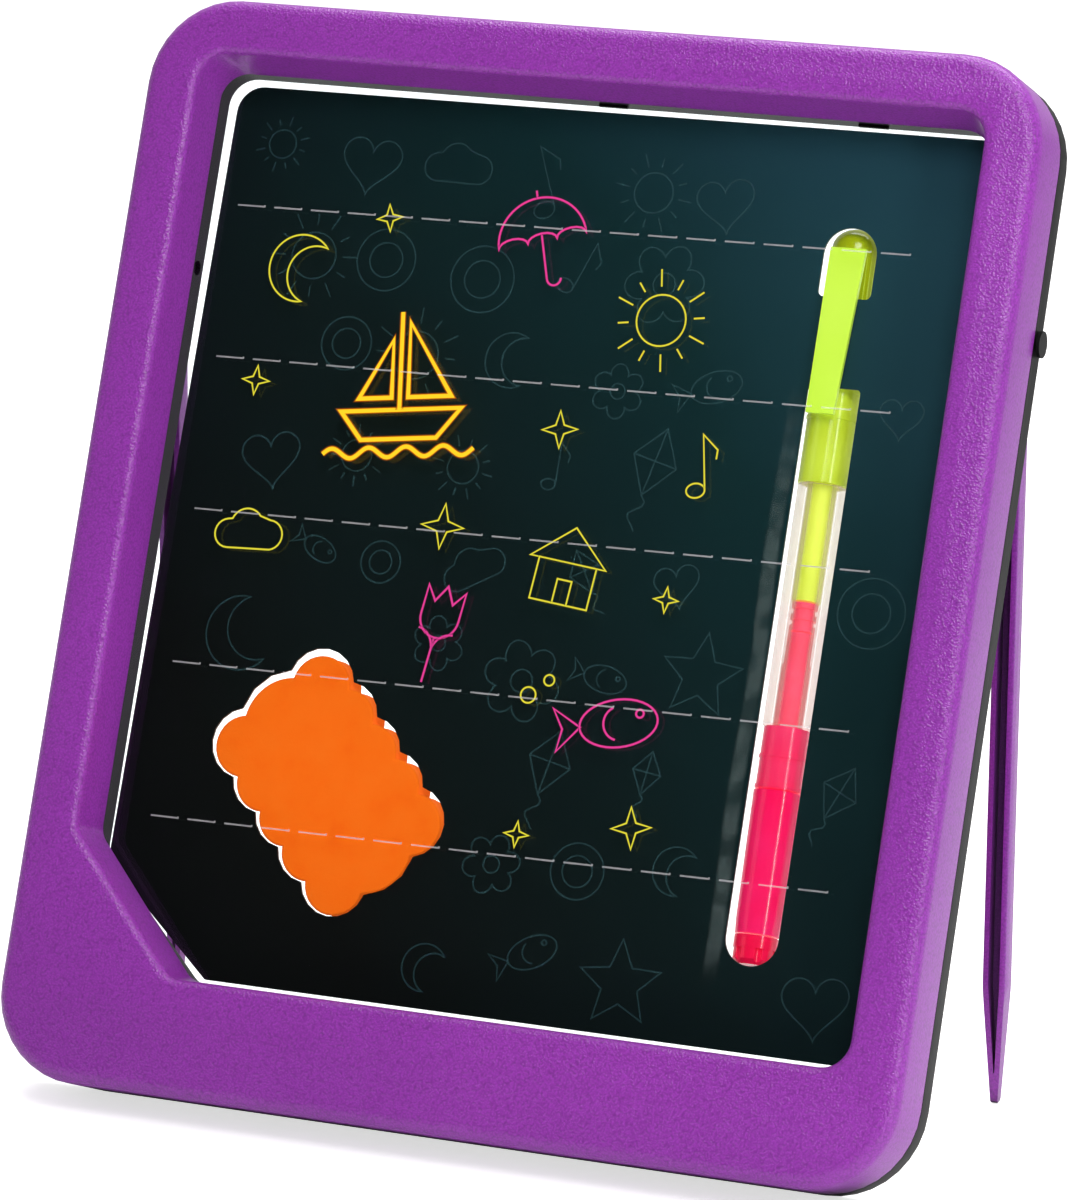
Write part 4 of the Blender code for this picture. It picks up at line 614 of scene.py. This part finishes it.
def tulip(size):
    bloom = arc(0, size * 0.35, size * 0.42, 180, 360, steps=18)
    bloom += scaled(size, [(0.42, 0.95), (0.2, 0.66), (0, 1.0), (-0.2, 0.66), (-0.42, 0.95)])
    paths = [(bloom, True), (scaled(size, [(0, -0.07), (0, -1.0)]), False)]
    for side, start, end in ((1, 180, 95), (-1, 0, 85)):
        paths.append((arc(side * size * 0.42, -size * 0.35, size * 0.42, start, end, steps=12), False))
    return paths


def house(size):
    return [
        (scaled(size, [(-0.7, -0.8), (0.7, -0.8), (0.7, 0.15), (-0.7, 0.15)]), True),
        (scaled(size, [(-0.92, 0.15), (0.92, 0.15), (0, 0.95)]), True),
        (scaled(size, [(-0.15, -0.8), (-0.15, -0.25), (0.2, -0.25), (0.2, -0.8)]), False),
    ]


# Where the drawings go: motif, x and z on the board in millimetres, turn in degrees
FINE_YELLOW = [
    (sun(10.5), 20, 168, 8),
    (house(9.0), 8, 116, -6),
    (crescent(7.0), -60, 172, -20),
    (note(7.5), 34, 140, 10),
    (cloud(8.5), -62, 116, 0),
    (bubbles(1.6), 4, 90, 0),
    (sparkle(4.6), -20, 122, 0),
    (sparkle(2.8), -42, 184, 10),
    (sparkle(3.8), 2, 144, 6),
    (sparkle(2.6), 30, 112, 0),
    (sparkle(3.0), -66, 148, 0),
    (sparkle(4.2), 30, 66, 8),
    (sparkle(2.6), 6, 62, 0),
]
BOLD_YELLOW = [(boat(15.0), -34, 150, 7)]
PINK = [
    (umbrella(9.5), -8, 182, 16),
    (tulip(10.0), -18, 100, -8),
    (fish(11.5), 22, 86, 12),
]

# What the card's faint print picks from: a motif, and its size against the others
PRINTED = [
    (star, 1.0),
    (heart, 0.9),
    (flower, 1.0),
    (sun, 1.15),
    (cloud, 1.2),
    (double_ring, 1.0),
    (crescent, 0.9),
    (kite, 1.0),
    (note, 1.0),
    (fish, 1.0),
]


def placed(paths, x, z, turn):
    """A motif's paths, turned and moved to a place on the board, in metres."""
    c, s = math.cos(math.radians(turn)), math.sin(math.radians(turn))
    return [
        ([((x + c * a - s * b) * MM, (z + s * a + c * b) * MM) for a, b in points], closed)
        for points, closed in paths
    ]


def gather(motifs):
    found = []
    for motif in motifs:
        found += placed(*motif)
    return found


def is_printable(x, z):
    """Whether a place on the card is clear of its cut-outs and edges."""
    near_pen = PEN_COLUMN[0] < x < PEN_COLUMN[1]
    near_pad = math.hypot(x - PAD_MIDDLE[0], z - PAD_MIDDLE[1]) < PAD_CLEARANCE
    off_card = x > CARD_SIDES[1] or x < CARD_SIDES[0] or x + z < CORNER_CUT
    return not (near_pen or near_pad or off_card)


def faint_print():
    """Common outlines scattered over the card in rows."""
    pick = random.Random(PRINT_SEED)
    found = []
    for row in range(PRINT_ROWS):
        for column in range(PRINT_COLUMNS):
            across = PRINT_START[0] + PRINT_PITCH[0] * column + (PRINT_STAGGER if row % 2 else 0)
            x = across + pick.uniform(-PRINT_SHIFT, PRINT_SHIFT)
            z = PRINT_START[1] + PRINT_PITCH[1] * row + pick.uniform(-PRINT_SHIFT, PRINT_SHIFT)
            size = pick.uniform(*PRINT_SIZES)
            if is_printable(x, z):
                motif, share = pick.choice(PRINTED)
                found += placed(motif(size * share), x, z, pick.uniform(-PRINT_TURN, PRINT_TURN))
    return found


def guide_dashes():
    """Five dashed rules, each dash closed by a tiny upright tick."""
    along = Vector((math.cos(GUIDE_TURN), math.sin(GUIDE_TURN)))
    up = Vector((-along.y, along.x)) * TICK_HALF
    found = []
    for row in range(GUIDE_COUNT):
        start = GUIDE_START + GUIDE_STEP * row
        for k in range(DASH_COUNT):
            a = start + along * (DASH_PITCH * k)
            b = a + along * DASH
            found.append(([tuple(a), tuple(b)], False))
            found.append(([tuple(b - up * TICK_BELOW), tuple(b + up)], False))
    return found


def painted_glare_band():
    """The middle line of the painted glare beside the pen slot."""
    pick = random.Random(GLARE_SEED)
    points = []
    for k in range(GLARE_STEPS + 1):
        z = GLARE_LOW + (GLARE_HIGH - GLARE_LOW) * k / GLARE_STEPS
        wander = GLARE_WANDER * math.sin(k * GLARE_WAVE) + pick.uniform(-GLARE_SHAKE, GLARE_SHAKE)
        points.append((SLOT_LEFT - GLARE_HALF_WIDTH - GLARE_GAP + wander, z))
    return [(points, False)]


# Foam pad


def meeting(one, other):
    """Where two overlapping circles, each a centre and a radius, meet on the right of the way."""
    (centre, radius), (next_centre, next_radius) = one, other
    apart = next_centre - centre
    along = (apart.length_squared + radius**2 - next_radius**2) / (2 * apart.length)
    across = math.sqrt(radius**2 - along**2)
    way = apart.normalized()
    return centre + way * along + Vector((way.y, -way.x)) * across


def pad_valleys():
    """Where the outline's arcs meet on the pad as it is cut, around the pad."""
    half = PAD_SCALLOP / 2
    one_side = [
        (half * 3, -PAD_HALF_WIDTH),
        (PAD_HALF_LENGTH, -PAD_END_HALF),
        (PAD_HALF_LENGTH, PAD_END_HALF),
        (half * 3, PAD_HALF_WIDTH),
        (half, PAD_HALF_WIDTH),
        (-half, PAD_HALF_WIDTH),
    ]
    return [Vector(v) for v in one_side] + [-Vector(v) for v in one_side]


def scalloped_outline(grow):
    """The pad's outline: three scallops on each long side, an arc at each end, four corner lobes."""
    valleys = pad_valleys()
    arcs = []
    for i, start in enumerate(valleys):
        end = valleys[(i + 1) % len(valleys)]
        chord = end - start
        rise = BULGE_SHARES[i % len(BULGE_SHARES)] * chord.length
        radius = (chord.length_squared / 4 + rise * rise) / (2 * rise)
        outward = Vector((chord.y, -chord.x)).normalized()
        arcs.append(((start + end) / 2 + outward * (rise - radius), radius + grow))
    joins = [meeting(arcs[i - 1], found) for i, found in enumerate(arcs)]
    turn = Matrix.Rotation(PAD_TURN, 2)
    points = []
    for i, (centre, _) in enumerate(arcs):
        arm = joins[i] - centre
        last = joins[(i + 1) % len(joins)] - centre
        sweep = (math.atan2(last.y, last.x) - math.atan2(arm.y, arm.x)) % (2 * math.pi)
        for k in range(BULGE_STEPS):
            spun = Matrix.Rotation(sweep * k / BULGE_STEPS, 2) @ arm
            place = turn @ (centre + spun)
            points.append((PAD_X + place.x, PAD_Z + place.y))
    return points


def pad_levels():
    """From the front face to the back one, each level's depth and how far it stands out."""
    rim = [(0.0, -PAD_RIM * inset) for inset in CAP_INSETS]
    for k in range(RIM_STEPS + 1):
        angle = math.radians(90 * k / RIM_STEPS)
        rim.append((PAD_RIM * (1 - math.cos(angle)), PAD_RIM * (math.sin(angle) - 1)))
    sides = [(PAD_THICKNESS * share, -PAD_WAIST * math.sin(math.pi * share)) for share in SIDE_LEVELS]
    return rim + sides + [(PAD_THICKNESS - depth, grow) for depth, grow in reversed(rim)]


def foam_pad(look):
    """The pad as cut foam: soft rims, sides drawn in by the cut and an uneven skin."""
    shape = bmesh.new()
    rings = []
    for depth, grow in pad_levels():
        outline = scalloped_outline(PAD_SWELL + grow)
        rings.append([shape.verts.new((x, PAD_FRONT + depth, z)) for x, z in outline])
    count = len(rings[0])
    for low, high in zip(rings, rings[1:]):
        for i in range(count):
            j = (i + 1) % count
            shape.faces.new((low[i], low[j], high[j], high[i])).smooth = True
    shape.faces.new(rings[0][::-1])
    shape.faces.new(rings[-1])
    bmesh.ops.recalc_face_normals(shape, faces=shape.faces)
    for vertex in shape.verts:
        into = min(vertex.co.y - PAD_FRONT, PAD_FRONT + PAD_THICKNESS - vertex.co.y)
        if into > PAD_RIM:
            ripple = noise.noise(vertex.co / PAD_RIPPLE) - 0.5
            middle = Vector((PAD_X, vertex.co.y, PAD_Z))
            vertex.co += (vertex.co - middle).normalized() * (PAD_UNEVEN * ripple)
    mesh = bpy.data.meshes.new("foam_pad")
    shape.to_mesh(mesh)
    shape.free()
    mesh.materials.append(look.material)
    pad = show(bpy.data.objects.new("foam_pad", mesh))
    pad.matrix_world = BOARD
    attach(pad, "pad")
    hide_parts("wiping_pad")


# Finishes of the CAD nodes


def dress(node, *looks, choose=None):
    """Give a node its finish; choose picks one of several by a face's middle."""
    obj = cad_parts[node]
    obj.data.materials.clear()
    for look in looks:
        obj.data.materials.append(look.material)
    for face in obj.data.polygons:
        face.material_index = choose(face.center) if choose else 0
    obj.data.shade_smooth()
    weld = obj.modifiers.new("weld", "WELD")
    weld.merge_threshold = WELD_DISTANCE
    split = obj.modifiers.new("edges", "EDGE_SPLIT")
    split.split_angle = CREASE
    split.use_edge_sharp = False


def cap_part(place):
    """0 for the cap's skirt, 1 for its clip, 2 for its closed end."""
    on_board = BOARD.inverted() @ place
    if on_board.y < CLIP_BACK:
        return 1
    return 2 if on_board.z > CAP_END else 0


black = plastic("black plastic", linear(11, 11, 12), linear(18, 18, 19), 0.42, grain=0.1)
black.surface({"Specular IOR Level": DULL})
steel = plastic("steel", linear(170, 170, 175), linear(200, 200, 205), 0.3, spots=300)
steel.surface({"Metallic": 1.0})
sleeve = plastic("battery sleeve", linear(24, 90, 70), linear(40, 120, 95), 0.35)
solder_mask = plastic("circuit board", linear(10, 80, 40), linear(20, 110, 60), 0.45, spots=200)
button = plastic("button plastic", linear(150, 70, 180), linear(170, 90, 200), 0.45)
lamp = plastic("lamp", linear(235, 235, 215), linear(250, 250, 235), 0.3)
red_wire = plastic("red wire", linear(150, 20, 20), linear(180, 30, 30), 0.45)
black_wire = plastic("black wire", linear(16, 16, 16), linear(28, 28, 28), 0.45)
yellow_ink = plastic("yellow ink", linear(222, 240, 44), linear(238, 252, 72), 0.6, spots=150, glow=0.3)
pink_ink = plastic("pink ink", linear(255, 42, 92), linear(255, 60, 112), 0.6, spots=150, glow=0.3)
pink = plastic("pink plastic", linear(255, 20, 88), linear(255, 34, 104), 0.16, spots=90, glow=0.25)
red_pink = plastic("red pink plastic", linear(255, 12, 62), linear(255, 22, 80), 0.16, spots=90, glow=0.18)
pink_clear = plastic(
    "clear pink plastic", linear(252, 44, 94), linear(255, 66, 112), 0.2, spots=90, glow=0.24
)
lime = plastic("lime plastic", linear(205, 222, 50), linear(222, 240, 74), 0.16, spots=90, glow=0.14)
lime_clip = plastic(
    "bright lime plastic", linear(212, 250, 66), linear(222, 255, 88), 0.3, spots=40, glow=0.16
)
lime_dome = plastic(
    "olive lime plastic", linear(182, 190, 14), linear(192, 204, 24), 0.16, spots=90, glow=0.08
)

FINISHES = [
    # Each purple copy gets its own painted shade colour; the legs' is darker, for their shaded channels
    (grained_purple("purple plastic", linear(120, 108, 120)), ["front_bezel"]),
    (grained_purple("purple leg plastic", linear(34, 10, 38)), ["leg_left", "leg_right"]),
    (black, ["rear_cover", "battery_door", "pivot_pin_left", "pivot_pin_right"]),
    (black, ["tact_switch", "driver_chip"]),
    (clear_acrylic(), ["drawing_panel"]),
    (printed_card(), ["insert_card"]),
    (steel, ["door_screw", "circuit_screw_1", "circuit_screw_2", "contact_plate", "contact_spring"]),
    (steel, [f"case_screw_{n}" for n in range(1, 7)]),
    (sleeve, [f"battery_{n}" for n in range(1, 4)]),
    (lamp, [f"lamp_{n}" for n in range(1, 7)]),
    (solder_mask, ["circuit_board", "light_strip"]),
    (button, ["mode_button"]),
    (red_wire, ["battery_wire_red", "light_wire_red"]),
    (black_wire, ["battery_wire_black", "light_wire_black"]),
    (frosted(), ["pen_barrel"]),
    (yellow_ink, ["ink_yellow", "nib_yellow"]),
    (pink_ink, ["ink_pink", "ink_divider", "nib_pink"]),
    (pink_clear, ["nib_holder"]),
    (pink, ["pink_cap"]),
    (red_pink, ["pen_end_plug"]),
]
for look, nodes in FINISHES:
    for node in nodes:
        dress(node, look)
dress("yellow_cap", lime, lime_clip, lime_dome, choose=cap_part)
foam_pad(cut_foam())

INK_Y = PANEL_FRONT - LINE_LIFT
yellow_glow = glowing("yellow glow", linear(228, 218, 62), linear(96, 92, 12), 1.0, 0.45)
bold_glow = glowing("bold glow", linear(255, 205, 40), linear(190, 95, 5), 1.15, 0.5)
pink_glow = glowing("pink glow", linear(226, 66, 150), linear(110, 18, 66), 1.0, 0.45)
guide = printed_line("guide line", linear(250, 246, 250), 0.36)
faint = printed_line("faint print", linear(66, 114, 120), 0.28)
# Painted reflection: a grey band of glare on the card beside the pen slot
glare_look = painted_glare(linear(124, 140, 138), 0.3)
lines("drawing_fine_yellow", gather(FINE_YELLOW), FINE_HALF_WIDTH, INK_Y, yellow_glow)
lines("drawing_bold_yellow", gather(BOLD_YELLOW), BOLD_HALF_WIDTH, INK_Y, bold_glow)
lines("drawing_pink", gather(PINK), PINK_HALF_WIDTH, INK_Y, pink_glow)
lines("guide_lines", guide_dashes(), DASH_HALF_WIDTH, INK_Y - LINE_LIFT, guide)
lines("card_print", faint_print(), PRINT_HALF_WIDTH, CARD_FRONT - LINE_LIFT, faint)
lines("card_painted_glare", painted_glare_band(), GLARE_HALF_WIDTH, CARD_FRONT - 2 * LINE_LIFT, glare_look)


# Floor, lights and camera


def stage_floor():
    """A pale floor that reads as white but still takes the object's soft shadow."""
    bpy.ops.mesh.primitive_plane_add(size=FLOOR_SIZE, location=(0, 0, 0))
    floor = bpy.context.object
    floor.name = "floor"
    look = Look("floor")
    seen = look.add("LightPath").outputs["Is Camera Ray"]
    glow = look.maths("MULTIPLY", seen, FLOOR_GLOW)
    look.surface({"Base Color": (0.9, 0.9, 0.9, 1), "Roughness": 0.9})
    look.surface({"Emission Color": (1, 1, 1, 1), "Emission Strength": glow})
    floor.data.materials.append(look.material)


def surroundings():
    """White behind the object and above it, darker on the side of the camera, as in a photo studio."""
    world = bpy.data.worlds.new("world")
    bpy.context.scene.world = world
    world.use_nodes = True
    sky = Shading(world.node_tree)
    way = sky.add("SeparateXYZ", {"Vector": sky.add("TexCoord").outputs["Generated"]})
    (dark_y, dark), (bright_y, bright) = DARK_SIDE, BRIGHT_SIDE
    lit = sky.spread(way.outputs["Y"], dark_y, bright_y, dark, bright, "SMOOTHSTEP")
    path = sky.add("LightPath")
    seen = sky.maths("MAXIMUM", path.outputs["Is Camera Ray"], path.outputs["Is Transmission Ray"])
    background = sky.nodes["Background"]
    sky.feed(background, "Color", (1, 1, 1, 1))
    sky.feed(background, "Strength", sky.maths("MAXIMUM", seen, lit))


def area_light(name, place, aim, size, power):
    data = bpy.data.lights.new(name, "AREA")
    data.shape = "RECTANGLE"
    data.size, data.size_y = size
    data.energy = power
    light = show(bpy.data.objects.new(name, data))
    light.location = place
    light.rotation_euler = (Vector(aim) - Vector(place)).to_track_quat("-Z", "Y").to_euler()


def aim_camera():
    """The photograph's view of the board."""
    data = bpy.data.cameras.new("camera")
    data.lens = CAMERA_LENS
    camera = show(bpy.data.objects.new("camera", data))
    camera.location = BOARD @ Vector(CAMERA_AT)
    level = math.cos(CAMERA_ELEVATION)
    away = Vector(
        (
            -math.sin(CAMERA_AZIMUTH) * level,
            math.cos(CAMERA_AZIMUTH) * level,
            -math.sin(CAMERA_ELEVATION),
        )
    )
    camera.rotation_euler = away.to_track_quat("-Z", "Y").to_euler()
    bpy.context.scene.camera = camera


stage_floor()
surroundings()
for name, light in LIGHTS.items():
    area_light(name, *light)
aim_camera()
bpy.context.scene.view_settings.view_transform = "Standard"
